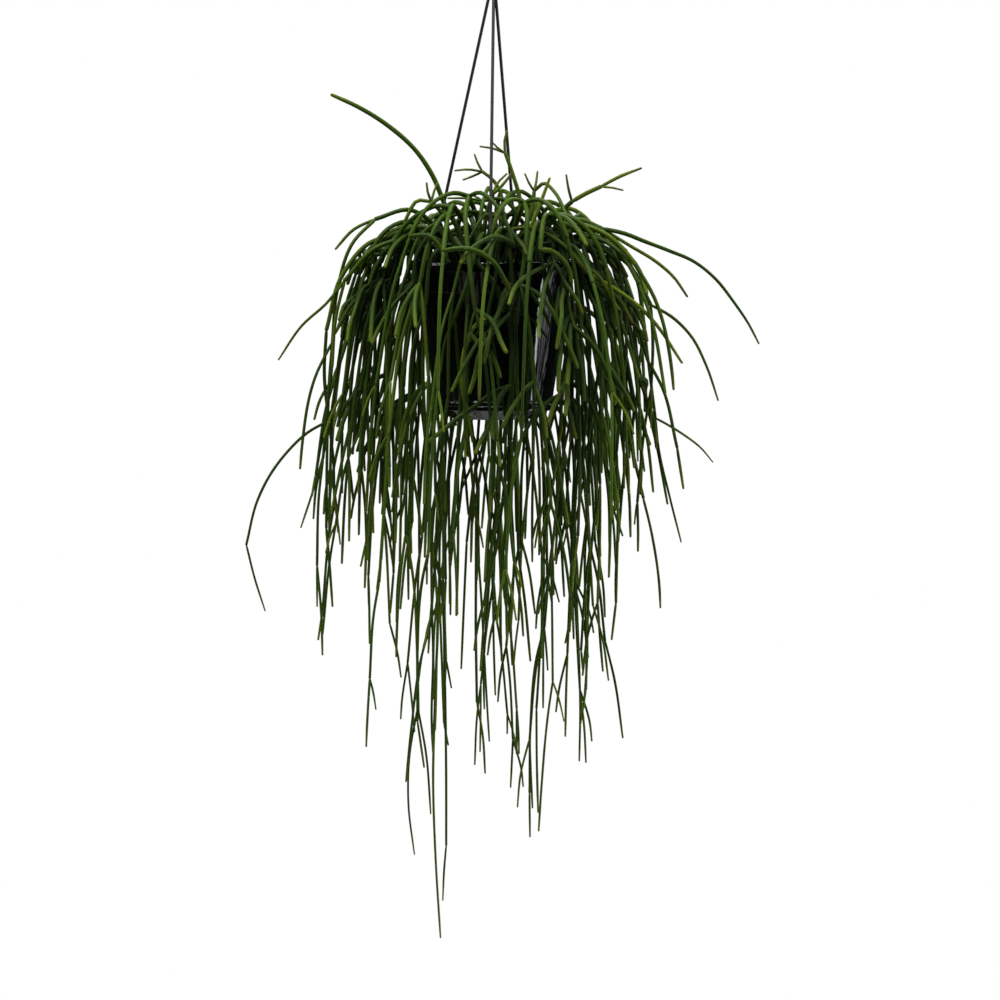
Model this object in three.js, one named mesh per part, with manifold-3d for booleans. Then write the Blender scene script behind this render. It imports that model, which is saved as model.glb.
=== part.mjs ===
// A mistletoe cactus in a round hanging pot: moulded pot, drip saucer, soil, a three-strand
// hanger, and the plant as rooted sprays. Millimetres, +Z up, the origin where the hook bears.
import * as THREE from 'three';
import { mergeVertices } from 'three/addons/utils/BufferGeometryUtils.js';
import Module from 'manifold-3d';

const wasm = await Module();
wasm.setup();

// ---------------------------------------------------------------- driving dimensions
const GAP = 0.3; // between pieces that only touch
const MERGE = 1e-4; // vertices closer than this are one

// hanger, with heights above the hook's bearing point
const HOOK = { inside: 5, rod: 3.2, shank: -22, neck: [4.8, -15.5], tip: 5, sides: 6, steps: 12 };
const BOSS = {
  top: -21, topRadius: 3.6, apex: -28, apexRadius: 4.4, belly: -35, bellyRadius: 5.2, foot: -38, sides: 8,
};
const HANGER_DROP = 244; // from the strands' apex down to the rim
const STRAND = { width: 2.8, thick: 2, seat: 71.7, lap: 4 };
const STRAND_TURNS = [-2.4, -135, 165]; // degrees round the pot from its front
const TAB = { top: 24, shoulder: 12, width: 5.6, leg: 4.4, barb: 6.8, barbDrop: 6.6, tip: 3 };

// pot and saucer, with depths below the rim
const RIM = BOSS.apex - HANGER_DROP; // height of the rim's top face
const POT = {
  rimRadius: 75.25, rimDrop: 8.2, rimEdge: 0.9, skirt: 1.6, ledge: 1.9, wall: 1.6, lip: 0.5,
  topRadius: 70.1, stepDrop: 26, stepIn: 0.8, footRadius: 52.2, footDrop: 119.5,
  bead: { out: 1, top: 1, bottom: 3.5, foot: 4 }, edge: 0.8, ringWidth: 4, base: 126, floor: 121.9,
  sides: 32,
};
const DRAIN = { count: 4, radius: 3, at: 30, sides: 6 };
const SAUCER = {
  lipRadius: 56.4, lipDrop: 123.4, edge: 0.7, wall: 1.6, shelfIn: 46, shelfDrop: 126.3, shelfThick: 1.4,
  waistDrop: 131, baseRadius: 38.5, bottom: 136.5, sides: 28,
};

// soil and the places where shoots stand in it
const SOIL = { drop: 16, crown: 3, hump: [35, 2.1], clear: 0.7, sides: 24 };
const PLANTING = { shoots: 54, radius: 58, depth: 12, stub: 7, sides: 4, turn: 137.508 };

// plant, with heights above the rim
const SECTION = { sides: 3, swell: 1.16 }; // a three-sided stem is as wide to the eye as a round one
const STEM = { foot: 2.15, shoulder: 1.75, strand: 1.5, tip: 1, twig: 1.2, thinsOver: 380 };
const THINNER = { onward: 0.95, side: 0.9, third: 0.85 }; // what grows from a joint, against the stem
const JOINT = {
  turns: 12, // turns of a joint's last ring that are tried
  face: (2 * Math.PI) / 3, // angle from one face of its point to the next
  lean: 0.5, // how far a face looks forward, against how far it looks out
  orders: [[0, 1, 2], [0, 2, 1], [1, 0, 2], [1, 2, 0], [2, 0, 1], [2, 1, 0]],
  stagger: 0.25, // how far the stems of a fan may stand off their even spacing, in radians
};
const SHOOT = {
  thinner: 0.5, // how far towards the shoulder's thickness a foot may start
  crest: [6, 54], // from the edge of the pot to its middle
  crestLot: 24, // by how much a crest may stand higher
  crestAt: [0.34, 0.5], // where along the reach
  shoulder: [-15, -60],
  start: [20, 150], // degrees that it may set off to either side, from the pot's edge to its middle
  drift: [60, 120], // degrees that it may bear away on its way over
  bears: 210, // degrees of the arch in which it would bear away by all of that
  rise: [35, 90], // degrees of the arch at which it is drawn before its crest
  fall: [26, 52, 80], // and after it
  spray: [6, 20, 24], // degrees between the shoulder and what hangs from it
  hangs: [[0.4, 0.95], [0.25, 0.75], [0.25, 0.6]], // share of the curtain's depth
  hangsSkew: 1.5,
};
const HANG = { nearest: 80, spread: 36, skew: 1.3 }; // how far from the axis the strands come down
const INTERNODE = { least: 85, most: 165, step: 58 };
const STEP = { least: 14, first: 0.6, later: 1.2, nearEnd: 8 };
const SAG = 0.95; // how much a hanging stem turns down at each step
const SWAY = 0.13; // and how much it strays
const FORK = {
  tilts: [[5, 11], [8, 18], [12, 30]], // degrees off the stem: going on, beside it, a twig
  leastOnward: 15, // depth left, without which a strand ends at its joint
  leastBeside: 60,
  drop: 40, // a strand beside it hangs at least so much further
};
const TWIG = { least: 20, most: 50, droop: 0.5, tip: 0.9 };
const ARCH = {
  turn: [24, 54], crestTurn: [1.1, 1.9], droop: 0.2, bend: [0.4, 0.75], first: 14, step: [14, 24],
  steps: 4, hangs: [0.2, 0.7], leastHang: 30,
};
const ODDS = { strand: 0.58, twig: 0.22, arch: 0.95, third: 0.75, shortInFront: 0.35 };
const FRONT = { halfWidth: 40, least: 45, most: 130 }; // the short strands in front of the pot

// bending clear
const CLEAR = 0.45; // air kept between stems, and between them and everything else
const PUSH = { extra: 0.05, boost: 1.2, reach: 6, places: 8, end: 0.02 };
const ROLL = { at: 72, drop: 4, radius: 5.5 }; // the rim as stems meet it, a round bar bent to a ring
const ROUNDS = 150; // at the most

// how far below the rim the curtain of strands hangs, from the plant's left to its right
const HEM = [
  [-185, 40], [-165, 100], [-152, 270], [-135, 295], [-112, 345], [-85, 450], [-50, 500], [-20, 465],
  [10, 485], [55, 515], [72, 450], [88, 380], [105, 330], [116, 240], [128, 160], [150, 80], [185, 50],
];

// ---------------------------------------------------------------- finishes
const finish = (color, roughness) => new THREE.MeshStandardMaterial({ color, roughness, metalness: 0 });
const BLACK_GLOSS = finish('#101114', 0.16);
const BLACK_SATIN = finish('#1b1c1e', 0.38);
const PEAT = finish('#2b2019', 0.95);
const STEM_GREEN = ['#4d6b25', '#44631f', '#587a2a', '#3c5a22'].map((c) => finish(c, 0.45));

// ---------------------------------------------------------------- solids
// A closed three.js geometry as a solid that can be joined and cut
function solidOf(geometry) {
  const bare = geometry.index ? geometry.toNonIndexed() : geometry.clone();
  bare.deleteAttribute('normal');
  bare.deleteAttribute('uv');
  const whole = mergeVertices(bare, MERGE);
  const corners = [];
  for (let i = 0; i < whole.index.count; i += 3) {
    const [a, b, c] = [0, 1, 2].map((k) => whole.index.getX(i + k));
    if (a !== b && b !== c && c !== a) corners.push(a, b, c);
  }
  return new wasm.Manifold(new wasm.Mesh({
    numProp: 3,
    vertProperties: new Float32Array(whole.attributes.position.array),
    triVerts: new Uint32Array(corners),
  }));
}

function geometryOf(solid) {
  const { vertProperties, triVerts } = solid.getMesh();
  const geometry = new THREE.BufferGeometry();
  geometry.setAttribute('position', new THREE.BufferAttribute(vertProperties, 3));
  geometry.setIndex(new THREE.BufferAttribute(triVerts, 1));
  geometry.computeVertexNormals();
  return geometry;
}

const joined = (solids) => solids.reduce((whole, next) => whole.add(next));

// A solid turned round the pot's axis from its section, given as [radius, height] points
function turned(section, sides) {
  const lathe = new THREE.LatheGeometry(section.map(([r, z]) => new THREE.Vector2(r, z)), sides);
  return solidOf(lathe.rotateX(Math.PI / 2));
}

// An upright prism, as a drill for holes
function drill(radius, sides, x, y, bottom, top) {
  const rod = new THREE.CylinderGeometry(radius, radius, top - bottom, sides).rotateX(Math.PI / 2);
  return solidOf(rod.translate(x, y, (top + bottom) / 2));
}

const radians = THREE.MathUtils.degToRad;
// The direction that lies so many degrees round the pot from its front
const roundPot = (degrees) => [Math.sin(radians(degrees)), -Math.cos(radians(degrees))];

// ---------------------------------------------------------------- pot, saucer, soil
// Radius of the pot's outer face at a depth below the rim, and of its inner face
function outerWall(drop) {
  const taper = (POT.topRadius - POT.footRadius) / POT.footDrop;
  return POT.topRadius - taper * drop - (drop > POT.stepDrop ? POT.stepIn : 0);
}
const innerWall = (drop) => outerWall(drop) - POT.wall;
const fromRim = ([r, drop]) => [r, RIM - drop];

function makePot() {
  const { base, bead, edge, floor, footDrop, footRadius, stepDrop } = POT;
  const { ledge, lip, rimDrop, rimEdge, rimRadius } = POT;
  const underside = floor + POT.wall;
  const ringIn = footRadius - POT.ringWidth;
  const skirtIn = rimRadius - POT.skirt;
  const section = [
    // underside, foot ring and the bead round it
    [0, underside], [ringIn, underside], [ringIn, base], [footRadius - edge, base],
    [footRadius, footDrop + bead.foot], [footRadius + bead.out, footDrop + bead.bottom],
    [footRadius + bead.out, footDrop + bead.top], [outerWall(footDrop), footDrop],
    // wall, stacking step, and the rim's turned-down skirt
    [outerWall(stepDrop + edge), stepDrop + edge], [outerWall(stepDrop), stepDrop],
    [outerWall(ledge), ledge], [skirtIn, ledge], [skirtIn, rimDrop], [rimRadius - lip, rimDrop],
    [rimRadius, rimEdge], [rimRadius - rimEdge, 0],
    // inside
    [innerWall(0) + lip, 0], [innerWall(lip), lip], [innerWall(stepDrop), stepDrop],
    [innerWall(stepDrop + edge), stepDrop + edge], [innerWall(floor), floor], [0, floor],
  ];
  let pot = turned(section.map(fromRim), POT.sides);
  for (let i = 0; i < DRAIN.count; i++) {
    const [x, y] = roundPot((360 / DRAIN.count) * (i + 0.5)).map((v) => v * DRAIN.at);
    pot = pot.subtract(drill(DRAIN.radius, DRAIN.sides, x, y, RIM - base, RIM - stepDrop));
  }
  for (const turn of STRAND_TURNS) {
    const slot = new THREE.BoxGeometry(TAB.leg + 2 * GAP, STRAND.thick + 2 * GAP, 3 * ledge);
    slot.translate(0, -STRAND.seat, RIM - ledge / 2).rotateZ(radians(turn));
    pot = pot.subtract(solidOf(slot));
  }
  return pot;
}

function makeSaucer() {
  const { baseRadius, bottom, edge, lipDrop, lipRadius, waistDrop, wall } = SAUCER;
  const { shelfDrop, shelfIn, shelfThick } = SAUCER;
  const section = [
    // under it, and out to the lip
    [0, bottom], [baseRadius, bottom], [shelfIn, waistDrop], [lipRadius - edge, shelfDrop + shelfThick],
    [lipRadius, lipDrop + edge], [lipRadius - edge, lipDrop],
    // inside: the lip, the shelf under the pot's foot ring, and the dish
    [lipRadius - wall, lipDrop], [lipRadius - wall - edge, shelfDrop], [shelfIn, shelfDrop],
    [shelfIn - shelfThick, waistDrop - shelfThick], [baseRadius - edge, bottom - wall], [0, bottom - wall],
  ];
  return turned(section.map(fromRim), SAUCER.sides);
}

function makeSoil() {
  const bottom = POT.floor - GAP;
  const belowStep = POT.stepDrop + 2 * POT.edge;
  const [humpRadius, hump] = SOIL.hump;
  const section = [
    [0, bottom], [innerWall(bottom) - SOIL.clear, bottom], [innerWall(belowStep) - SOIL.clear, belowStep],
    [innerWall(SOIL.drop) - POT.stepIn - SOIL.clear, SOIL.drop],
    [humpRadius, SOIL.drop - hump], [0, SOIL.drop - SOIL.crown],
  ];
  const top = RIM - SOIL.drop;
  let soil = turned(section.map(fromRim), SOIL.sides);
  for (const spray of sprays) {
    const { p: [x, y], r } = spray.points[0];
    const across = (r * SECTION.swell + GAP) / Math.cos(Math.PI / PLANTING.sides);
    const foot = top - PLANTING.depth - GAP;
    soil = soil.subtract(drill(across, PLANTING.sides, x, y, foot, top + 2 * SOIL.crown));
  }
  return soil;
}

// ---------------------------------------------------------------- hanger
// A moulded hook whose crook bears at the origin, over a short swan neck
function makeHook() {
  const bend = HOOK.inside + HOOK.rod / 2;
  const crook = (degrees) => {
    const turn = radians(degrees);
    return [bend * Math.sin(turn), bend * Math.cos(turn) - HOOK.inside];
  };
  const path = new THREE.CatmullRomCurve3([
    [0, HOOK.shank], HOOK.neck, crook(110), crook(49), crook(0), crook(-49), crook(-98),
    [-bend, -HOOK.inside - HOOK.tip],
  ].map(([x, z]) => new THREE.Vector3(x, 0, z)));
  const section = new THREE.Shape();
  for (let k = 0; k < HOOK.sides; k++) {
    const turn = (2 * Math.PI * k) / HOOK.sides;
    const corner = [Math.cos(turn) * HOOK.rod / 2, Math.sin(turn) * HOOK.rod / 2];
    if (k === 0) section.moveTo(...corner);
    else section.lineTo(...corner);
  }
  return solidOf(new THREE.ExtrudeGeometry(section, { steps: HOOK.steps, extrudePath: path }));
}

// The boss under the hook, where the three strands run together
function makeBoss() {
  return turned([
    [0, BOSS.foot], [BOSS.bellyRadius, BOSS.belly], [BOSS.apexRadius, BOSS.apex],
    [BOSS.topRadius, BOSS.top], [0, BOSS.top],
  ], BOSS.sides);
}

// One strand and the tab at its foot, which snaps into the front of the rim before it is turned
function makeStrand(turn) {
  const foot = new THREE.Vector3(0, -STRAND.seat, RIM + TAB.top - STRAND.lap);
  const head = new THREE.Vector3(0, -1, BOSS.apex);
  const bar = new THREE.BoxGeometry(STRAND.width, STRAND.thick, head.distanceTo(foot));
  bar.rotateX(-Math.atan2(head.y - foot.y, head.z - foot.z));
  bar.translate(...head.clone().add(foot).divideScalar(2));

  const half = [
    [STRAND.width / 2, TAB.top], [TAB.width / 2, TAB.shoulder], [TAB.width / 2, GAP], [TAB.leg / 2, GAP],
    [TAB.leg / 2, -POT.ledge - GAP], [TAB.barb / 2, -POT.ledge - GAP], [TAB.tip / 2, -TAB.barbDrop],
  ];
  const outline = [...half, ...half.map(([x, z]) => [-x, z]).reverse()].reverse();
  const shape = new THREE.Shape(outline.map(([x, z]) => new THREE.Vector2(x, z)));
  const tab = new THREE.ExtrudeGeometry(shape, { depth: STRAND.thick, bevelEnabled: false });
  tab.translate(0, 0, -STRAND.thick / 2).rotateX(Math.PI / 2).translate(0, -STRAND.seat, RIM);
  return solidOf(bar).add(solidOf(tab)).rotate([0, 0, turn]);
}

const makeHanger = () => joined([makeHook(), makeBoss(), ...STRAND_TURNS.map(makeStrand)]);

// ---------------------------------------------------------------- drawing lots
// A seeded draw of numbers between 0 and 1, so the plant grows the same way every time
function seededDraw(seed) {
  let state = (seed * 7919 + 12345) % 2147483647;
  const draw = () => {
    state = (state * 48271) % 2147483647;
    return state / 2147483647;
  };
  for (let i = 0; i < 5; i++) draw();
  return draw;
}

// ---------------------------------------------------------------- vectors
// Points and directions are [x, y, z]. While the plant grows, z is measured from the rim.
const plus = (a, b, k = 1) => [a[0] + b[0] * k, a[1] + b[1] * k, a[2] + b[2] * k];
const minus = (a, b) => plus(a, b, -1);
const times = (a, k) => [a[0] * k, a[1] * k, a[2] * k];
const dot = (a, b) => a[0] * b[0] + a[1] * b[1] + a[2] * b[2];
const cross = (a, b) => [a[1] * b[2] - a[2] * b[1], a[2] * b[0] - a[0] * b[2], a[0] * b[1] - a[1] * b[0]];
const unit = (a) => times(a, 1 / (Math.sqrt(dot(a, a)) || 1));
const squared = (a, along) => unit(minus(a, times(along, dot(a, along)))); // a, made square to along
const between = (a, b, t) => a + (b - a) * t;
const DOWN = [0, 0, -1];

// ---------------------------------------------------------------- how the plant grows
// Where each shoot is planted: a spiral like a sunflower's, which spaces them evenly
const holes = Array.from({ length: PLANTING.shoots }, (_, i) => {
  const out = PLANTING.radius * Math.sqrt((i + 0.5) / PLANTING.shoots);
  const turn = radians(i * PLANTING.turn);
  return { x: out * Math.cos(turn), y: out * Math.sin(turn), out, turn };
});

function hemDepth(x) {
  const last = HEM[HEM.length - 1];
  if (x <= HEM[0][0]) return HEM[0][1];
  if (x >= last[0]) return last[1];
  const k = HEM.findIndex(([edge]) => edge >= x);
  const [[x0, d0], [x1, d1]] = [HEM[k - 1], HEM[k]];
  return between(d0, d1, (x - x0) / (x1 - x0));
}

// How deep the longest strand at a place may hang. In front of the pot most are short, so that
// the pot shows.
function strandDepth([x, y], draw) {
  const inFront = y < 0 && Math.abs(x) < FRONT.halfWidth;
  const short = between(FRONT.least, FRONT.most, draw());
  return inFront && draw() < ODDS.shortInFront ? short : hemDepth(x);
}

// A stem is one year's growth, from a joint to the next: its points, and the stems that grow
// from its end. It shares its first point with the end of the stem that it grows from.
const newStem = (first) => ({ points: [first], next: [] });
const endOf = (stem) => stem.points[stem.points.length - 1];
const addPoint = (stem, p, r) => stem.points.push({ p, r });
const headingOf = (stem) => unit(minus(endOf(stem).p, stem.points[stem.points.length - 2].p));

function branch(stem, thinner) {
  const end = endOf(stem);
  const side = newStem(end);
  side.r = end.r * thinner;
  stem.next.push(side);
  return side;
}

// The headings of up to three stems that fan out evenly round the end of a stem
function fan(heading, tilts, draw) {
  const u = squared(Math.abs(heading[2]) > 0.9 ? [1, 0, 0] : [0, 0, 1], heading);
  const v = cross(heading, u);
  const start = 2 * Math.PI * draw();
  return tilts.map((degrees, k) => {
    const turn = start + JOINT.face * k + JOINT.stagger * (2 * draw() - 1);
    const out = plus(times(u, Math.cos(turn)), v, Math.sin(turn));
    const tilt = radians(degrees);
    return unit(plus(times(heading, Math.cos(tilt)), out, Math.sin(tilt)));
  });
}

// Hang a stem down to its next joint or to the end depth, and go on from the joint
function hang(stem, heading, endDepth, draw) {
  const length = between(INTERNODE.least, INTERNODE.most, draw());
  const steps = Math.max(2, Math.round(length / INTERNODE.step));
  let along = heading;
  let r = stem.r;
  for (let k = 0; k < steps; k++) {
    const from = endOf(stem).p;
    const sway = [draw() - 0.5, draw() - 0.5, 0];
    const thinned = Math.min(1, Math.max(0, -from[2] / STEM.thinsOver));
    r = Math.min(r, between(STEM.strand, STEM.tip, thinned));
    // the first step from a joint is short, so that the bend below it is round
    const share = (length / steps) * (k === 0 ? STEP.first : STEP.later);
    const step = Math.max(STEP.least, Math.min(share, endDepth + from[2]));
    addPoint(stem, plus(from, along, step), r);
    along = unit(plus(plus(along, DOWN, SAG), sway, SWAY));
    if (-endOf(stem).p[2] > endDepth - STEP.nearEnd) return;
  }
  branchOut(stem, endDepth, draw);
}

// The stems that grow from a joint in the curtain: one goes on, and a side strand or a twig may join
function branchOut(stem, endDepth, draw) {
  const depth = -endOf(stem).p[2];
  const full = strandDepth(endOf(stem).p, draw);
  const lot = draw();
  const tilts = FORK.tilts.map(([least, most]) => between(least, most, draw()));
  const [onward, beside, aside] = fan(headingOf(stem), tilts, draw);
  if (endDepth - depth > FORK.leastOnward) hang(branch(stem, THINNER.onward), onward, endDepth, draw);
  if (lot < ODDS.strand && full - depth > FORK.leastBeside) {
    const end = between(depth + FORK.drop, full, Math.pow(draw(), 2));
    hang(branch(stem, THINNER.side), beside, end, draw);
  }
  if (lot > 1 - ODDS.twig) twig(branch(stem, THINNER.third), aside, draw);
}

// A short young shoot
function twig(stem, heading, draw) {
  const half = between(TWIG.least, TWIG.most, draw()) / 2;
  const r = Math.min(STEM.twig, stem.r);
  const second = unit(plus(heading, DOWN, TWIG.droop));
  addPoint(stem, plus(endOf(stem).p, heading, half), r);
  addPoint(stem, plus(endOf(stem).p, second, half), r * TWIG.tip);
}

// The foot of a shoot: straight up out of its hole
function foot(hole, r) {
  const stem = newStem({ p: [hole.x, hole.y, -SOIL.drop - PLANTING.depth], r, fixed: true });
  stem.points.push({ p: [hole.x, hole.y, -SOIL.drop + PLANTING.stub], r, fixed: true });
  return stem;
}

// A shoot left to itself: it rises to its crest, arches over the rim and hangs
function freeShoot(hole, draw) {
  const r = between(STEM.foot, STEM.shoulder, SHOOT.thinner * draw());
  const stem = foot(hole, r);
  const inner = 1 - hole.out / PLANTING.radius;
  const either = ([atEdge, atMiddle]) => radians(between(atEdge, atMiddle, inner) * (draw() - 0.5));
  const reach = HANG.nearest + HANG.spread * Math.pow(draw(), HANG.skew) - hole.out;
  const low = endOf(stem).p[2];
  const crest = between(...SHOOT.crest, inner) + SHOOT.crestLot * draw();
  const shoulder = between(...SHOOT.shoulder, draw());
  const crestAt = between(...SHOOT.crestAt, draw());
  const drift = either(SHOOT.drift);
  const start = hole.turn + either(SHOOT.start);
  // a point of the arch: how far along its reach, how many degrees into the arch, and its height
  const arch = (along, degrees, height) => {
    const out = hole.out + reach * along;
    const turn = start + (drift * degrees) / SHOOT.bears;
    return [out * Math.cos(turn), out * Math.sin(turn), height];
  };
  for (const degrees of SHOOT.rise) {
    const a = radians(degrees);
    addPoint(stem, arch(crestAt * (1 - Math.cos(a)), degrees, between(low, crest, Math.sin(a))), r);
  }
  const over = branch(stem, THINNER.onward);
  for (const degrees of SHOOT.fall) {
    const a = radians(degrees);
    const along = between(crestAt, 1, Math.sin(a));
    const height = between(shoulder, crest, Math.cos(a));
    addPoint(over, arch(along, 90 + degrees, height), between(r, STEM.shoulder, degrees / 90));
  }

  // beside it, from the crest
  const leaving = unit(minus(over.points[1].p, over.points[0].p));
  const side = drift > 0 ? -1 : 1;
  if (draw() < ODDS.arch) archedBranch(branch(stem, THINNER.side), leaving, side, true, draw);
  const across = -side * between(...ARCH.crestTurn, draw());
  archedBranch(branch(stem, THINNER.third), leaving, across, false, draw);

  // what hangs from the shoulder
  const [first, second, third] = fan(headingOf(over), SHOOT.spray, draw);
  const full = strandDepth(endOf(over).p, draw);
  const [longest, middling, shortest] = SHOOT.hangs;
  const depth = full * between(...longest, Math.pow(draw(), SHOOT.hangsSkew));
  hang(branch(over, THINNER.onward), first, depth, draw);
  hang(branch(over, THINNER.side), second, full * between(...middling, draw()), draw);
  if (draw() < ODDS.third) {
    hang(branch(over, THINNER.third), third, full * between(...shortest, draw()), draw);
  } else {
    twig(branch(over, THINNER.third), third, draw);
  }
  return stem;
}

// A heading laid level and turned by some degrees about the upright
function turnedLevel([x, y], degrees) {
  const turn = radians(degrees);
  const [cos, sin] = [Math.cos(turn), Math.sin(turn)];
  return unit([x * cos - y * sin, x * sin + y * cos, 0]);
}

// A branch that leaves a shoot at its crest and arches over beside it, and may hang on from there
function archedBranch(stem, heading, way, hangs, draw) {
  const aside = turnedLevel(heading, way * between(...ARCH.turn, draw()));
  let along = unit(plus(aside, DOWN, -ARCH.droop));
  const bend = between(...ARCH.bend, draw());
  const step = between(...ARCH.step, draw());
  for (let k = 0; k < ARCH.steps; k++) {
    addPoint(stem, plus(endOf(stem).p, along, k === 0 ? ARCH.first : step), stem.r);
    along = unit(plus(along, DOWN, bend));
  }
  if (!hangs) return;
  const end = endOf(stem).p;
  const full = strandDepth(end, draw);
  const depth = Math.max(-end[2] + ARCH.leastHang, full * between(...ARCH.hangs, draw()));
  hang(branch(stem, THINNER.onward), along, depth, draw);
}

// ---------------------------------------------------------------- shoots with a shape of their own
// Shoots that give this plant its outline, by the hole that they stand in. A way is where the
// stem passes, from the pot's axis and the rim's height, r its thickness there, and next what
// grows from its end. One with a hang goes on by itself to that depth.
const SHAPED = {
  // a fork that points to the left, close under the hook
  0: {
    r: [1.9, 1.6],
    way: [[13, -4, 18], [19, -3, 42], [8, 0, 53], [-10, 2, 52]],
    next: [
      { r: [1.2, 1], way: [[-25, 1, 54], [-40, 0, 54]] },
      { r: [1.2, 1], way: [[-17, 5, 56], [-25, 6, 58]] },
    ],
  },
  // two straight young shoots beside the front strand
  2: {
    r: [1.9, 1.7],
    way: [[-8, -15, 18], [-6, -16, 42], [-1, -16, 57]],
    next: [
      { r: [1.5, 1.2], way: [[8, -19, 66], [15, -18, 75]] },
      { r: [1.3, 1.1], way: [[3, -10, 67], [11, -8, 75]] },
      {
        r: [1.7, 1.5],
        way: [[-4, -26, 63], [-8, -44, 50], [-12, -64, 26], [-18, -80, 0], [-22, -86, -34]],
        hang: 150,
      },
    ],
  },
  // a bright straight shoot, leaning out to the right
  5: {
    r: [1.9, 1.4],
    way: [[26, -14, 14], [33, -16, 32], [41, -17, 52], [48, -18, 71]],
  },
  // two arches over the front, from one foot
  7: {
    r: [2.1, 1.9],
    way: [[-4, -24, 14], [-3, -29, 29], [-4, -40, 39]],
    next: [
      {
        r: [1.7, 1.3],
        way: [[-16, -46, 42], [-36, -47, 38], [-60, -49, 22], [-76, -53, -14], [-92, -56, -66]],
      },
      { r: [1.7, 1.4], way: [[5, -52, 38], [16, -64, 23], [29, -79, 0]] },
      { r: [1.6, 1.5], way: [[-10, -56, 37], [-24, -74, 14], [-34, -85, -24]], hang: 330 },
    ],
  },
  // the upright cluster right of the middle, with an arch out of it
  8: {
    r: [1.9, 1.6],
    way: [[28, 8, 28], [34, 8, 48], [35, 8, 60]],
    next: [
      { r: [1.2, 1], way: [[30, 5, 68], [27, 4, 75]] },
      { r: [1.3, 1.1], way: [[37, 15, 69], [38, 18, 77]] },
      {
        r: [1.5, 1.4],
        way: [[43, 3, 67], [52, -7, 60], [61, -20, 43], [69, -37, 20], [75, -52, -12]],
        hang: 220,
      },
    ],
  },
  // a fork over the left shoulder
  12: {
    r: [1.9, 1.6],
    way: [[-38, -16, 20], [-44, -17, 40], [-54, -18, 51]],
    next: [
      { r: [1.3, 1.1], way: [[-57, -20, 59], [-58, -21, 67]] },
      { r: [1.3, 1.1], way: [[-52, -14, 59], [-49, -12, 67]] },
      {
        r: [1.6, 1.4],
        way: [[-66, -19, 52], [-74, -20, 40], [-82, -21, 6], [-96, -22, -34]],
        hang: 260,
      },
    ],
  },
  // the thick young shoot that stands highest, over the left side
  9: {
    r: [2.3, 1.7],
    way: [
      [-31, 8, 26], [-43, 5, 49], [-52, 3, 71], [-66, 1, 93],
      [-95, -2, 119], [-118, -4, 133], [-140, -6, 143],
    ],
  },
  // the upright whorl in the middle
  3: {
    r: [1.9, 1.6],
    way: [[17, 16, 22], [23, 16, 49], [17, 15, 73], [10, 14, 93]],
    next: [
      { r: [1.3, 1.1], way: [[9, 14, 102], [11, 13, 112]] },
      { r: [1.2, 1], way: [[4, 9, 97], [-2, 6, 103]] },
      { r: [1.2, 1], way: [[0, 18, 97], [-12, 20, 99]] },
    ],
  },
  // the whorl to the left of it
  6: {
    r: [1.8, 1.4],
    way: [[4, 24, 30], [6, 26, 55], [-1, 26, 70], [-10, 25, 77]],
    next: [
      { r: [1.2, 1], way: [[-22, 21, 79], [-34, 18, 78]] },
      { r: [1.2, 1], way: [[-19, 28, 73], [-27, 30, 70]] },
      { r: [1.2, 1], way: [[-14, 25, 84], [-17, 25, 92]] },
    ],
  },
  // the arch over the left edge
  22: {
    r: [2, 1.7],
    way: [[-48, 20, 24], [-75, 14, 42], [-103, 8, 36]],
    next: [
      { r: [1.5, 1.2], way: [[-122, 7, 27], [-138, 6, 10]] },
      { r: [1.5, 1.4], way: [[-122, -4, 16], [-137, -8, -26], [-143, -9, -70]], hang: 300 },
    ],
  },
  // the fork that stands out over the right shoulder
  16: {
    r: [2.1, 1.9],
    way: [[42, 20, 22], [58, 17, 42], [68, 15, 51]],
    next: [
      {
        r: [1.9, 1.7],
        way: [[80, 13, 58], [93, 12, 64]],
        next: [
          { r: [1.6, 1.2], way: [[110, 10, 73], [128, 8, 80]] },
          { r: [1.2, 1], way: [[104, 8, 63], [112, 6, 61]] },
        ],
      },
      { r: [1.3, 1.1], way: [[65, 13, 62], [63, 12, 74]] },
    ],
  },
  // the long arch to the right, with a shorter one beside it
  13: {
    r: [2.1, 1.9],
    way: [[50, -10, 24], [72, -14, 34], [93, -17, 28]],
    next: [
      {
        r: [1.8, 1],
        way: [
          [112, -19, 24], [130, -21, 17], [151, -22, 9], [172, -23, 0],
          [191, -24, -15], [207, -24, -35], [220, -24, -54], [229, -24, -71],
        ],
      },
      { r: [1.6, 1.2], way: [[118, -8, 13], [141, -5, -1], [156, -4, -14], [168, -4, -31]] },
      { r: [1.5, 1.3], way: [[103, -30, 8], [112, -40, -30], [114, -44, -80]], hang: 330 },
    ],
  },
  // the right shoulder, with a branch that reaches out half way down the pot
  21: {
    r: [2, 1.7],
    way: [[58, 1, 20], [86, -4, 18], [116, -8, -4], [136, -10, -38]],
    next: [
      { r: [1.5, 1], way: [[155, -10, -49], [171, -10, -65], [185, -10, -92], [195, -10, -121]] },
      { r: [1.5, 1.3], way: [[138, -8, -70], [137, -8, -110]], hang: 250 },
    ],
  },
  // the right edge, which ends in two long thin tips
  42: {
    r: [2, 1.7],
    way: [[72, 18, 20], [100, 22, 16], [123, 24, -12], [132, 24, -60]],
    next: [
      {
        r: [1.5, 1.3],
        way: [[137, 24, -100], [141, 24, -139]],
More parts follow.
